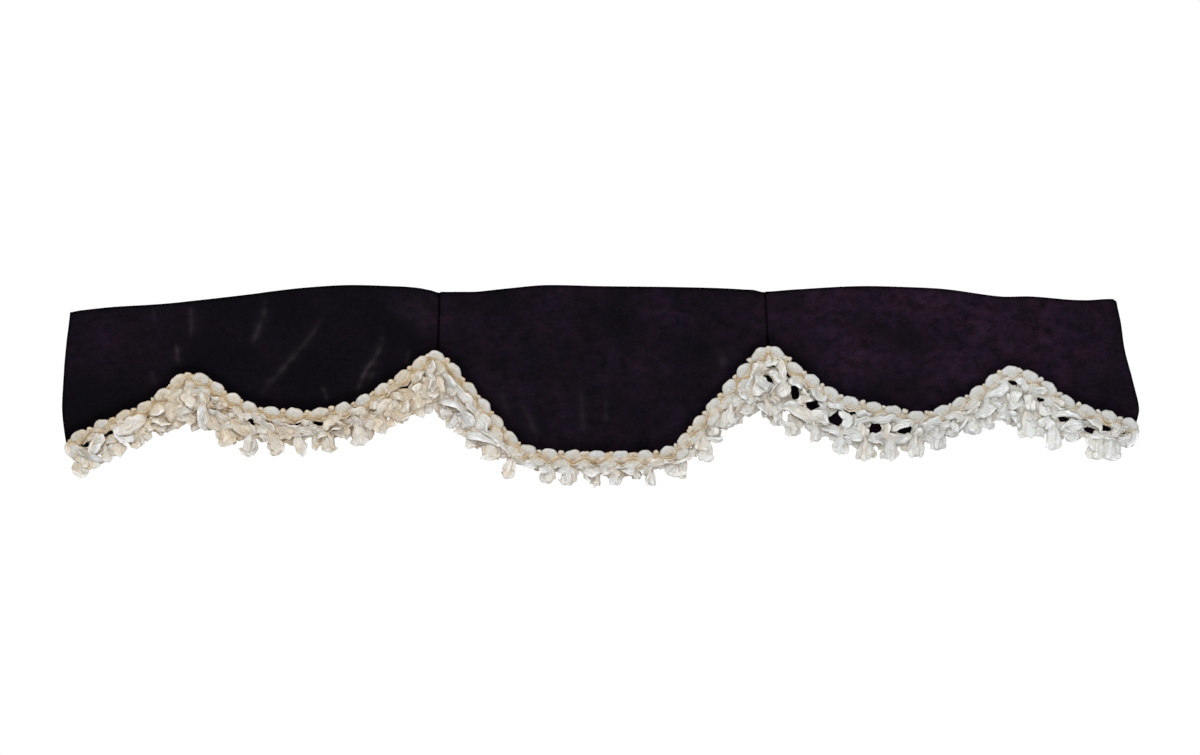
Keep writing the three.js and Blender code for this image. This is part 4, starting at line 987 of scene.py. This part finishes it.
def in_gap(x, z, half):
    for gx, gz, wide, high, tilt in GAPS:
        c, s = math.cos(math.radians(tilt)), math.sin(math.radians(tilt))
        u, v = (x - gx) * c + (z - gz) * s, -(x - gx) * s + (z - gz) * c
        if np.hypot(u / (wide / 2 + half), v / (high / 2 + half)) < 1:
            return True
    return False


def curve(p0, p1, p2, p3, n):
    t = np.linspace(0, 1, n)[:, None]
    return ((1 - t) ** 3 * p0 + 3 * (1 - t) ** 2 * t * p1 + 3 * (1 - t) * t * t * p2 + t ** 3 * p3)


def through(points, n):
    """Smooth path of n points through a few given ones."""
    p = np.array(points, float)
    step = np.concatenate([[0], np.cumsum(np.hypot(*np.diff(p, axis=0).T))])
    t = np.linspace(0, step[-1], n)
    return np.stack([smooth(list(zip(step, p[:, k])))(t) for k in (0, 1)], -1)


# Place of each tuft's neck along the edge.
grid_s = np.arange(FIRST_S, LAST_S, 3.0)
grid_a = np.arange(24.0, 150.0, 3.0)
GX, GZ = from_edge(grid_s[:, None], grid_a[None, :])


def along_edge(x, z):
    k = np.argmin((GX - x) ** 2 + (GZ - z) ** 2)
    i, j = np.unravel_index(k, GX.shape)
    return grid_s[i], grid_a[j]


def lay_ribbon(yarn, flat, wide, deep, forward, warm=0.0, tone=1.0, plies=4, roll=0.3, fan=0.5, fine=True):
    """A flat roving on the face of the net, pinched at its ends and a little crumpled."""
    n = len(flat)
    t = np.linspace(0, 1, n)
    crumple = 1.7 * np.sin(2 * math.pi * (rng.uniform(0.7, 1.6) * t + rng.uniform(0, 1)))
    dive = -4.5 * (1 - ramp(t / 0.22)) - 4.5 * (1 - ramp((1 - t) / 0.22))
    path = lay(flat[:, 0], flat[:, 1], np.maximum(forward + crumple + dive, 1.6))
    warm = warm + rng.normal(-0.18, 0.28)
    tint = yarn_tint(path[:, 0], warm) * tone * rng.uniform(0.91, 1.06)
    sway = rng.normal(0, roll) + rng.normal(0, 1.3 * roll) * np.sin(math.pi * t + rng.uniform(0, 3))
    peak = rng.uniform(0.35, 0.65)
    spread = (1 - fan) + fan * np.sin(math.pi * t ** (math.log(0.5) / math.log(peak))) ** 0.8
    yarn.ribbon(path, wide * 1.12 * spread, deep, tint, sway, plies, fine=fine)


LOBE_U = np.array([0, 0.13, 0.28, 0.42, 0.55, 0.66, 0.76, 0.85, 0.92, 0.97, 1.0])


def petal(yarn, p0, p1, p2, half, deep, forward, tone, neck=0.5, full=0.62, cup=0.0, plies=3, relief=0.6, edge=0.3,
          clear=None, curl=0.0, front=13, groove_shade=0.20, square=2.2):
    """Soft lobe of roving in the face, bent from p0 by p1 to p2: narrow at its root, broad and round at its end."""
    u = LOBE_U[:, None]
    flat = (1 - u) ** 2 * np.asarray(p0) + 2 * u * (1 - u) * np.asarray(p1) + u * u * np.asarray(p2)
    if clear is not None:
        flat = clear_gaps(flat, clear)
    along = np.gradient(flat, axis=0)
    along = along / (np.linalg.norm(along, axis=1, keepdims=True) + 1e-9)
    past = np.clip((u - full) / (1 - full), 0, 1)
    end = np.sqrt(np.maximum(1 - past ** square, 0.02))
    p = rng.uniform(0, 2 * math.pi, 6)
    turn = np.concatenate([np.linspace(0, math.pi, front), np.linspace(math.pi, 2 * math.pi, 5)[1:-1]])
    c, o = np.cos(turn)[None], np.sin(turn)[None]
    face = np.maximum(o, 0) ** 0.6
    wide = half * (neck + (1 - neck) * ramp(u / full)) * end
    wide = wide * (1 + 0.08 * np.sin(5 * u + p[0] + 1.2 * c) + 0.05 * np.sin(9 * u + p[1] - 2 * c))
    ply = np.abs(np.sin(0.5 * math.pi * plies * c + p[2] + rng.normal(0, 0.7) * u + 0.4 * np.sin(4 * u + p[3])))
    b = deep / 2 * np.sign(o) * np.abs(o) ** 0.8 * (0.40 + 0.60 * end)
    b = b + (relief * (ply - 0.62) * face + cup * (c * c - 0.4)) * end + 0.5 * np.sin(6 * u + p[4] + 1.5 * c) * face
    x, z = flat[:, :1] - wide * c * along[:, 1:], flat[:, 1:] + wide * c * along[:, :1]
    rings = lay(x, z, np.maximum(forward + b + curl * u * u, 0.4))
    # Painted shade in the grooves between plies, on the edges and underside, and towards the root.
    tint = tone * (1 - groove_shade * (1 - ply) * face + 0.03 * np.sin(3 * u + p[5]))[..., None]
    shaded = edge * edge_shade_at(x) * (c ** 6 * (0.6 + 0.4 * end) + 0.5 * (1 - face)) + 0.55 * (1 - ramp(u / 0.30))
    tint = tint + (painted_shade_at(x) - tint) * np.clip(shaded, 0, 0.85)[..., None]
    yarn.loft(rings, tint)


def net(under, loops, upper):
    """Rovings between the heading and the necks of the tufts, with the net's gaps left open."""
    def depth_at(s):
        return float(net_depth(np.interp(s, edge_s, edge_x)))

    # Crumpled under layer of short round lobes that lie every way.
    for s in np.arange(FIRST_S + 8, LAST_S - 4, 13.5):
        low = depth_at(s) - 4.0
        for a in np.arange(29.0, max(low, 30.0), 13.0):
            x, z = from_edge(s + rng.uniform(-5, 5), a + rng.uniform(-4, 4))
            half = rng.uniform(8.5, 12.5)
            if in_gap(float(x), float(z), 0.7 * half):
                continue
            way = -math.pi / 2 + rng.normal(0, 0.8)
            ux, uz = math.cos(way), math.sin(way)
            back, ahead, bend = rng.uniform(9, 14), rng.uniform(9, 15), rng.normal(0, 7)
            tone = yarn_tint(np.array([x]), rng.normal(-0.18, 0.30))[0] * rng.uniform(0.90, 1.06)
            petal(under, (x - back * ux, z - back * uz), (x - bend * uz, z + bend * ux), (x + ahead * ux, z + ahead * uz),
                  half, rng.uniform(2.6, 4.0), rng.uniform(2.4, 4.4), tone, 0.5, 0.60, rng.uniform(-1.4, 1.6),
                  int(rng.integers(2, 4)), 0.6, 0.35, clear=0.95 * half, curl=rng.uniform(-1.0, 1.4), front=9, groove_shade=0.12,
                  square=rng.uniform(1.8, 5.0))

    # Loops that sag from one loop of the heading to the next but one.
    for k in range(0, LOBES - 3):
        t = np.linspace(0, 1, 11)
        s0, s1 = HALF_S[k] + rng.normal(0, 5), HALF_S[k + 2] + rng.normal(0, 5)
        low = depth_at((s0 + s1) / 2) - 6.0
        sag = 0.95 * (low - 29.0) * rng.uniform(0.75, 1.1)
        if sag < 8 or rng.uniform() < 0.35:
            continue
        lean = rng.normal(0, 0.35)
        s = s0 + (s1 - s0) * (t + lean * np.sin(math.pi * t) * (1 - t))
        x, z = from_edge(np.clip(s, FIRST_S + 6, LAST_S - 6), 29.0 + sag * np.sin(math.pi * t) ** 0.75)
        wide = 13.5 * rng.uniform(0.8, 1.2)
        lay_ribbon(loops, clear_gaps(np.stack([x, z], -1), 0.56 * wide), wide, 2.8, rng.uniform(3.6, 5.4), 0.10, 0.98, roll=0.35)

    # Slanted rovings from the heading down to the necks, and from neck to neck.
    necks = sorted([row for row in TUFTS if row[4] > 15], key=lambda row: row[0])
    for nx, nz, swing, drop, width in necks:
        s0, a0 = along_edge(nx, nz)
        right = int(np.clip(np.searchsorted(HALF_S, s0), 1, LOBES - 2))
        for sa in (HALF_S[right - 1], HALF_S[right]):
            if a0 < 62 and rng.uniform() < 0.35:
                continue
            ax, az = from_edge(sa + rng.normal(0, 6), 31.0)
            bx, bz = from_edge(sa + (s0 - sa) * 0.2 + rng.normal(0, 6), 29 + 0.5 * (a0 - 29))
            cx, cz = nx + (ax - nx) * 0.35 + rng.normal(0, 5), nz + 0.25 * abs(az - nz)
            flat = curve(np.array([ax, az]), np.array([bx, bz]), np.array([cx, cz]),
                         np.array([nx + rng.normal(0, 2), nz - 6]), 10)
            wide = 15.0 * rng.uniform(0.85, 1.15)
            lay_ribbon(loops, clear_gaps(flat, 0.56 * wide), wide, 2.8, rng.uniform(4.0, 6.0), 0.0, 1.0, roll=0.35, fan=0.6)
    for (x0, z0, *_), (x1, z1, *_) in zip(necks[:-1], necks[1:]):
        far = math.hypot(x1 - x0, z1 - z0)
        if far > 60:
            continue
        lift = np.array([0, (0.24 * far + rng.uniform(-2, 4)) * float(np.clip((along_edge(x0, z0)[1] - 36) / 34, 0.55, 1))])
        p0, p3 = np.array([x0, z0 + 2.0]), np.array([x1, z1 + 2.0])
        flat = curve(p0, p0 * 0.72 + p3 * 0.28 + lift, p0 * 0.28 + p3 * 0.72 + lift, p3, 9)
        wide = 15.0 * rng.uniform(0.85, 1.25)
        lay_ribbon(loops, clear_gaps(flat, 0.56 * wide), wide, 3.2, rng.uniform(5.6, 7.6), 0.0, 1.0, roll=0.35)

    # Upper layer, placed one by one.
    for points, wide, forward, warm, tone in RIBBONS:
        flat = clear_gaps(through(points, 13), 0.56 * wide)
        drop = (np.interp(flat[:, 0], edge_x, edge_z) - flat[:, 1]) * np.cos(np.interp(flat[:, 0], edge_x, lean_near))
        sunk = 8.0 * ramp((27.0 - drop) / 9.0)
        lay_ribbon(upper, flat, 1.12 * wide, 2.6, forward + 2.3 - sunk, warm, tone, int(np.clip(round(wide / 4.0), 2, 6)),
                   0.28, 0.45)


def tufts(yarn):
    """Cut tufts: a short bell, block or wedge from each neck, of flat strands that fan out to a ragged cut."""
    for nx, nz, swing, drop, width in TUFTS:
        long = math.hypot(swing, drop)
        ax, az = swing / long, -drop / long
        lean = rng.normal(0, 0.13) * (1.0 if width < 38 else 0.3)
        ax, az = ax * math.cos(lean) - az * math.sin(lean), ax * math.sin(lean) + az * math.cos(lean)

        def at(w, v):
            return np.array([nx + ax * v - az * w, nz + az * v + ax * w])

        warm = rng.uniform(-0.45, 0.25)
        shift = rng.normal(0, 0.08) * width
        deep = float(np.clip(0.32 * width, 5, 10))
        tone = yarn_tint(np.array([nx]), warm)[0] * rng.uniform(0.95, 1.03)
        petal(yarn, at(0, -8), at(-0.5 * shift, 0.4 * long), at(shift, 0.93 * long), 0.44 * width, deep, 3.4, tone,
              rng.uniform(0.28, 0.42), rng.uniform(0.56, 0.70), rng.uniform(-0.6, 0.9), 2, 0.2, 0.12, front=19, groove_shade=0.04,
              square=rng.uniform(1.9, 4.0))
        # Strands from side to side, some behind and some in front.
        count = 2 if width < 20 else 3 if width < 36 else 4
        taper = rng.uniform(-0.30, 0.40)
        for i in range(count):
            q = (i + 0.5) / count - 0.5 + rng.normal(0, 0.05)
            tall = (rng.uniform(0.86, 1.04) - max(taper, 0.08) * abs(2 * q) ** 1.5) * long
            wide = (1.0 - 0.5 * max(-taper, 0)) * width
            half = rng.uniform(0.60, 0.85) * width / count
            tone = yarn_tint(np.array([nx]), warm + rng.normal(0, 0.22))[0] * rng.uniform(0.92, 1.06)
            petal(yarn, at(0.16 * q * width, -6 + rng.uniform(-2, 2)), at(0.30 * q * wide, 0.48 * tall),
                  at(1.06 * q * wide + rng.normal(0, 0.05) * width, tall), half, rng.uniform(3.0, 4.8),
                  3.2 + (0.42 * deep if abs(q) < 0.28 else 0.12 * deep) + rng.uniform(-0.8, 1.2), tone, rng.uniform(0.40, 0.62),
                  rng.uniform(0.58, 0.76), rng.uniform(-1.2, 1.6), 2, 0.25, 0.24, curl=rng.uniform(-1.5, 2.0), front=10,
                  groove_shade=0.05, square=rng.uniform(1.9, 4.2))
        # Brim that curls up at the cut.
        if rng.uniform() < 0.5:
            side = rng.choice([-1, 1])
            tone = yarn_tint(np.array([nx]), warm - 0.1)[0] * rng.uniform(0.98, 1.06)
            petal(yarn, at(-0.46 * side * width, rng.uniform(0.62, 0.80) * long), at(0.0, rng.uniform(0.86, 1.0) * long),
                  at(0.46 * side * width, rng.uniform(0.66, 0.84) * long), 0.15 * long, 3.4, 3.6 + 0.40 * deep, tone, 0.5, 0.55,
                  0.0, 2, 0.2, 0.30, curl=rng.uniform(-1.0, 1.0), front=10, groove_shade=0.05, square=2.6)


def crush(yarns, shares):
    """Push the yarn about in its face and fold it a little, each layer in its own way."""
    slow_x, slow_z, quick_x, quick_z, folds = Soft(31, 21), Soft(32, 21), Soft(33, 10), Soft(34, 10), Soft(35, 19)
    for k, (yarn, share) in enumerate(zip(yarns, shares)):
        points = np.concatenate(yarn.points)
        x, z = points[:, 0] + 311.0 * k, points[:, 2] - 173.0 * k
        ahead = np.clip((fringe_back(points[:, 0], points[:, 2]) - points[:, 1]) / 3.0, 0, 1)
        points[:, 0] += share * (1.6 * slow_x(x, z) + 0.40 * quick_x(x, z))
        points[:, 2] += share * (1.6 * slow_z(x, z) + 0.40 * quick_z(x, z))
        points[:, 1] -= share * ahead * 2.1 * (np.abs(folds(x, z)) - 0.8)
        # No yarn reaches back to the cloth.
        back = fringe_back(points[:, 0], points[:, 2])
        ahead = back - points[:, 1]
        points[:, 1] = back - np.where(ahead < 1, 0.25 + 0.75 * np.exp(np.minimum(ahead - 1, 0) / 0.75), ahead)
        yarn.points = [points]


def settle(yarns, shares):
    """Paint warm, dark shade on yarn that lies below its neighbours, and a cool, light highlight on what stands proud
    of them.
    """
    cell, x0, z0 = 2.4, -1100.0, -440.0
    top = np.zeros((917, 160))
    spots = []
    for yarn in yarns:
        points = np.concatenate(yarn.points)
        i = ((points[:, 0] - x0) / cell).astype(int)
        j = ((points[:, 2] - z0) / cell).astype(int)
        height = fringe_back(points[:, 0], points[:, 2]) - points[:, 1]
        np.maximum.at(top, (i, j), height)
        spots.append((points[:, 0], (points[:, 0] - x0) / cell - 0.5, (points[:, 2] - z0) / cell - 0.5, height))
    for axis in (0, 1):
        top = np.maximum(top, np.maximum(np.roll(top, 1, axis), np.roll(top, -1, axis)) - 1.2)
    kernel = np.exp(-0.5 * (np.arange(-8, 9) * cell / 6.0) ** 2)
    level = top
    for axis in (0, 1):
        level = np.apply_along_axis(np.convolve, axis, level, kernel / kernel.sum(), "same")
    blots, spots_of = Soft(41, 11), Soft(42, 24)
    for yarn, share, (x, u, v, height) in zip(yarns, shares, spots):
        bright = 0.60 if yarn in yarns[:2] else 1.0
        worn = 0.45 if yarn is yarns[4] else 1.0
        i, j = np.floor(u).astype(int), np.floor(v).astype(int)
        fu, fv = u - i, v - j
        near = (level[i, j] * (1 - fu) * (1 - fv) + level[i + 1, j] * fu * (1 - fv)
                + level[i, j + 1] * (1 - fu) * fv + level[i + 1, j + 1] * fu * fv)
        below = near - height
        # Painted shade where yarn lies below its neighbours, painted highlight where it stands proud.
        dark = share * RECESS_SHADE * np.clip((below + 0.3) / 4.6, 0, 1) ** 0.85
        light = np.clip((-below - 0.4) / 3.4, 0, 1) * (0.70 + 0.08 * ramp((x + 200) / 700)) * bright
        tint = np.concatenate(yarn.tints)
        tint = tint + (PAINTED_HIGHLIGHT - tint) * light[:, None]
        z = (v + 0.5) * cell + z0
        down = (np.interp(x, edge_x, edge_z) - z) * np.cos(np.interp(x, edge_x, lean_near))
        drawn = ramp((down - 11) / 5) * (1 - ramp((down - 21) / 9)) * ramp((blots(x, z) + 0.25) / 0.7)
        spotted = ramp((spots_of(x, z) - 0.55) / 0.6)
        stain = np.maximum((0.62 - 0.08 * ramp((x + 300) / 200) - 0.10 * ramp((x - 100) / 500)) * drawn, (0.34 - 0.14 * ramp((x - 100) / 500)) * spotted)
        tint = tint + (stain_at(x) - tint) * (worn * stain)[:, None]
        if yarn in yarns[2:]:
            cream = ramp((x + 860) / 150) * (1 - ramp((x + 420) / 110))
            grey = ramp((x - 330) / 80) * (1 - ramp((x - 640) / 120))
            tint = tint * (1 - cream[:, None] * np.array([0.050, 0.085, 0.125]) - 0.05 * grey[:, None])
        # Warm painted shade colour, a little darker on the left.
        deep = (0.66 + 0.20 * ramp((x - 150) / 400))[:, None] * painted_shade_at(x)
        yarn.tints = [tint + (deep - tint) * dark[:, None]]


# ------------------------------------------------------------------ materials
def plush_material():
    mat = bpy.data.materials.new("plush")
    mat.use_nodes = True
    nodes, links = mat.node_tree.nodes, mat.node_tree.links
    bsdf = nodes["Principled BSDF"]
    bsdf.inputs["Roughness"].default_value = 0.95
    bsdf.inputs["Specular IOR Level"].default_value = 0.04
    bsdf.inputs["Sheen Weight"].default_value = 0.045
    bsdf.inputs["Sheen Roughness"].default_value = 0.45
    bsdf.inputs["Sheen Tint"].default_value = (0.75, 0.62, 0.80, 1)
    where = nodes.new("ShaderNodeTexCoord")
    cloud = nodes.new("ShaderNodeTexNoise")
    cloud.inputs["Scale"].default_value = 42.0
    cloud.inputs["Detail"].default_value = 8.0
    cloud.inputs["Roughness"].default_value = 0.76
    cloud.inputs["Distortion"].default_value = 0.25
    brushed = nodes.new("ShaderNodeMapping")
    brushed.inputs["Rotation"].default_value = (0, 0.35, 0)
    brushed.inputs["Scale"].default_value = (0.85, 1.0, 1.20)
    links.new(where.outputs["Object"], brushed.inputs["Vector"])
    links.new(brushed.outputs["Vector"], cloud.inputs["Vector"])
    drift = nodes.new("ShaderNodeTexNoise")
    drift.inputs["Scale"].default_value = 17.0
    drift.inputs["Detail"].default_value = 4.0
    links.new(where.outputs["Object"], drift.inputs["Vector"])
    pile = nodes.new("ShaderNodeTexNoise")
    pile.inputs["Scale"].default_value = 210.0
    pile.inputs["Detail"].default_value = 4.0
    links.new(where.outputs["Object"], pile.inputs["Vector"])
    mottle_and_sheen = nodes.new("ShaderNodeAttribute")
    mottle_and_sheen.attribute_name = "mottle_and_sheen"
    shine = nodes.new("ShaderNodeAttribute")
    shine.attribute_name = "shine"
    spread = nodes.new("ShaderNodeMapRange")
    spread.inputs["From Min"].default_value = 0.34
    spread.inputs["From Max"].default_value = 0.68
    links.new(cloud.outputs["Fac"], spread.inputs["Value"])
    amount = nodes.new("ShaderNodeMath")
    amount.operation = "MULTIPLY"
    links.new(spread.outputs["Result"], amount.inputs[0])
    links.new(mottle_and_sheen.outputs["Fac"], amount.inputs[1])
    ground = nodes.new("ShaderNodeValToRGB")
    ground.color_ramp.elements[0].position = 0.30
    ground.color_ramp.elements[0].color = (0.0021, 0.0017, 0.0027, 1)
    ground.color_ramp.elements[1].position = 0.72
    ground.color_ramp.elements[1].color = (0.0037, 0.0030, 0.0048, 1)
    links.new(pile.outputs["Fac"], ground.inputs["Fac"])
    tinted = nodes.new("ShaderNodeMix")
    tinted.data_type = "RGBA"
    hues = nodes.new("ShaderNodeValToRGB")
    hues.color_ramp.elements[0].position = 0.38
    hues.color_ramp.elements[0].color = (0.0170, 0.0086, 0.0215, 1)
    hues.color_ramp.elements[1].position = 0.62
    hues.color_ramp.elements[1].color = (0.0222, 0.0096, 0.0196, 1)
    links.new(drift.outputs["Fac"], hues.inputs["Fac"])
    links.new(hues.outputs["Color"], tinted.inputs["B"])
    links.new(amount.outputs["Value"], tinted.inputs["Factor"])
    links.new(ground.outputs["Color"], tinted.inputs["A"])
    # Painted highlight: the crushed pile along the creases is lightened in the base colour.
    lit = nodes.new("ShaderNodeMix")
    lit.data_type = "RGBA"
    lit.inputs["B"].default_value = (0.0205, 0.0168, 0.0208, 1)
    links.new(shine.outputs["Fac"], lit.inputs["Factor"])
    links.new(tinted.outputs["Result"], lit.inputs["A"])
    # Painted shade: base colour, sheen and gloss are scaled down at the edges, seams and next to the fringe.
    painted_shade_factor = nodes.new("ShaderNodeAttribute")
    painted_shade_factor.attribute_name = "painted_shade_factor"
    turned = nodes.new("ShaderNodeVectorMath")
    turned.operation = "SCALE"
    links.new(lit.outputs["Result"], turned.inputs[0])
    links.new(painted_shade_factor.outputs["Fac"], turned.inputs["Scale"])
    links.new(turned.outputs["Vector"], bsdf.inputs["Base Color"])
    veil = nodes.new("ShaderNodeMath")
    veil.operation = "MULTIPLY"
    veil.inputs[1].default_value = 0.045
    links.new(painted_shade_factor.outputs["Fac"], veil.inputs[0])
    links.new(veil.outputs["Value"], bsdf.inputs["Sheen Weight"])
    gloss = nodes.new("ShaderNodeMath")
    gloss.operation = "MULTIPLY"
    gloss.inputs[1].default_value = 0.04
    links.new(painted_shade_factor.outputs["Fac"], gloss.inputs[0])
    links.new(gloss.outputs["Value"], bsdf.inputs["Specular IOR Level"])
    bump = nodes.new("ShaderNodeBump")
    bump.inputs["Strength"].default_value = 0.35
    bump.inputs["Distance"].default_value = 0.0012
    links.new(pile.outputs["Fac"], bump.inputs["Height"])
    links.new(bump.outputs["Normal"], bsdf.inputs["Normal"])
    return mat


def yarn_material():
    mat = bpy.data.materials.new("fringe_yarn")
    mat.use_nodes = True
    nodes, links = mat.node_tree.nodes, mat.node_tree.links
    bsdf = nodes["Principled BSDF"]
    bsdf.inputs["Roughness"].default_value = 0.46
    bsdf.inputs["Specular IOR Level"].default_value = 0.5
    bsdf.inputs["Sheen Weight"].default_value = 0.06
    bsdf.inputs["Sheen Roughness"].default_value = 0.5
    uv = nodes.new("ShaderNodeUVMap")
    uv.uv_map = "along"
    stretch = nodes.new("ShaderNodeMapping")
    stretch.inputs["Scale"].default_value = (5.0, 60.0, 1.0)
    links.new(uv.outputs["UV"], stretch.inputs["Vector"])
    fibre = nodes.new("ShaderNodeTexNoise")
    fibre.inputs["Scale"].default_value = 1.0
    fibre.inputs["Detail"].default_value = 3.0
    links.new(stretch.outputs["Vector"], fibre.inputs["Vector"])
    tint = nodes.new("ShaderNodeAttribute")
    tint.attribute_name = "tint"
    shade = nodes.new("ShaderNodeMapRange")
    shade.inputs["From Min"].default_value = 0.3
    shade.inputs["From Max"].default_value = 0.7
    shade.inputs["To Min"].default_value = 0.86
    shade.inputs["To Max"].default_value = 1.06
    links.new(fibre.outputs["Fac"], shade.inputs["Value"])
    mix = nodes.new("ShaderNodeVectorMath")
    mix.operation = "SCALE"
    links.new(tint.outputs["Color"], mix.inputs[0])
    links.new(shade.outputs["Result"], mix.inputs["Scale"])
    links.new(mix.outputs["Vector"], bsdf.inputs["Base Color"])
    bump = nodes.new("ShaderNodeBump")
    bump.inputs["Strength"].default_value = 0.6
    bump.inputs["Distance"].default_value = 0.0009
    links.new(fibre.outputs["Fac"], bump.inputs["Height"])
    links.new(bump.outputs["Normal"], bsdf.inputs["Normal"])
    return mat


def floor_material():
    mat = bpy.data.materials.new("studio_floor")
    mat.use_nodes = True
    bsdf = mat.node_tree.nodes["Principled BSDF"]
    bsdf.inputs["Base Color"].default_value = (0.80, 0.80, 0.80, 1)
    bsdf.inputs["Roughness"].default_value = 0.9
    bsdf.inputs["Specular IOR Level"].default_value = 0.1
    return mat


# ------------------------------------------------------------------ build
PLUSH, YARN_MAT, FLOOR = plush_material(), yarn_material(), floor_material()
panels = [
    (panel("panel_left_plush", side_left, seam_left, "hem", "seam"), "panel_left"),
    (panel("panel_centre_plush", seam_left, seam_right, "seam", "seam"), "panel_centre"),
    (panel("panel_right_plush", seam_right, side_right, "seam", "hem"), "panel_right"),
]
FRINGE_NODES = ["fringe_%d" % i for i in range(1, 10)]

head, bind = Yarn("fringe_heading"), Yarn("fringe_binding")
under, loops = Yarn("fringe_net_under"), Yarn("fringe_net_loops")
upper, ends = Yarn("fringe_net_upper"), Yarn("fringe_tufts")
heading(head)
binding(bind)
net(under, loops, upper)
tufts(ends)
yarns = [head, bind, under, loops, upper, ends]
crush(yarns, (0.25, 0.25, 0.8, 0.8, 0.6, 0.7))
settle(yarns, (0.45, 0.25, 1.0, 1.0, 0.85, 0.40))
trims = [y.build() for y in yarns]

for thing, node in panels:
    thing.data.materials.append(PLUSH)
    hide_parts(node)
    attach(thing, "root")
for thing in trims:
    thing.data.materials.append(YARN_MAT)
    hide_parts(*FRINGE_NODES)
    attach(thing, "root")

# ------------------------------------------------------------------ studio
bpy.ops.mesh.primitive_plane_add(size=12, location=(0, 0, -2.05))
floor = bpy.context.object
floor.name = "studio_floor"
floor.data.materials.append(FLOOR)

world = bpy.data.worlds.new("studio")
bpy.context.scene.world = world
world.use_nodes = True
nodes, links = world.node_tree.nodes, world.node_tree.links
way = nodes.new("ShaderNodeTexCoord")
parts = nodes.new("ShaderNodeSeparateXYZ")
white = nodes.new("ShaderNodeMapRange")
white.inputs["From Min"].default_value = 0.72
white.inputs["From Max"].default_value = 0.90
white.inputs["To Min"].default_value = 0.44
white.inputs["To Max"].default_value = 1.02
links.new(way.outputs["Generated"], parts.inputs["Vector"])
links.new(parts.outputs["Y"], white.inputs["Value"])
links.new(white.outputs["Result"], nodes["Background"].inputs["Strength"])
nodes["Background"].inputs["Color"].default_value = (1, 1, 1, 1)


def soft_light(name, place, aim, size, energy):
    lamp = bpy.data.lights.new(name, "AREA")
    lamp.shape = "RECTANGLE"
    lamp.size, lamp.size_y = size
    lamp.energy = energy
    thing = bpy.data.objects.new(name, lamp)
    thing.location = place
    thing.rotation_euler = (Vector(aim) - Vector(place)).to_track_quat("-Z", "Y").to_euler()
    bpy.context.scene.collection.objects.link(thing)


soft_light("key", (-1.3, -2.4, 2.4), (0, 0, -0.2), (2.0, 1.4), 94)
soft_light("fill", (2.2, -2.8, 0.6), (0, 0, -0.2), (1.6, 1.6), 30)

soft_light("low", (0.0, -2.6, -1.7), (0, 0, -0.3), (2.6, 0.8), 20)

lens = bpy.data.cameras.new("camera")
lens.sensor_width, lens.lens = 36.0, 65.0
camera = bpy.data.objects.new("camera", lens)
camera.location = (-0.002, -4.225, -0.1784)
camera.rotation_euler = (math.pi / 2, 0, 0)
bpy.context.scene.collection.objects.link(camera)
bpy.context.scene.camera = camera

bpy.context.scene.view_settings.view_transform = "Standard"

bpy.context.view_layer.update()
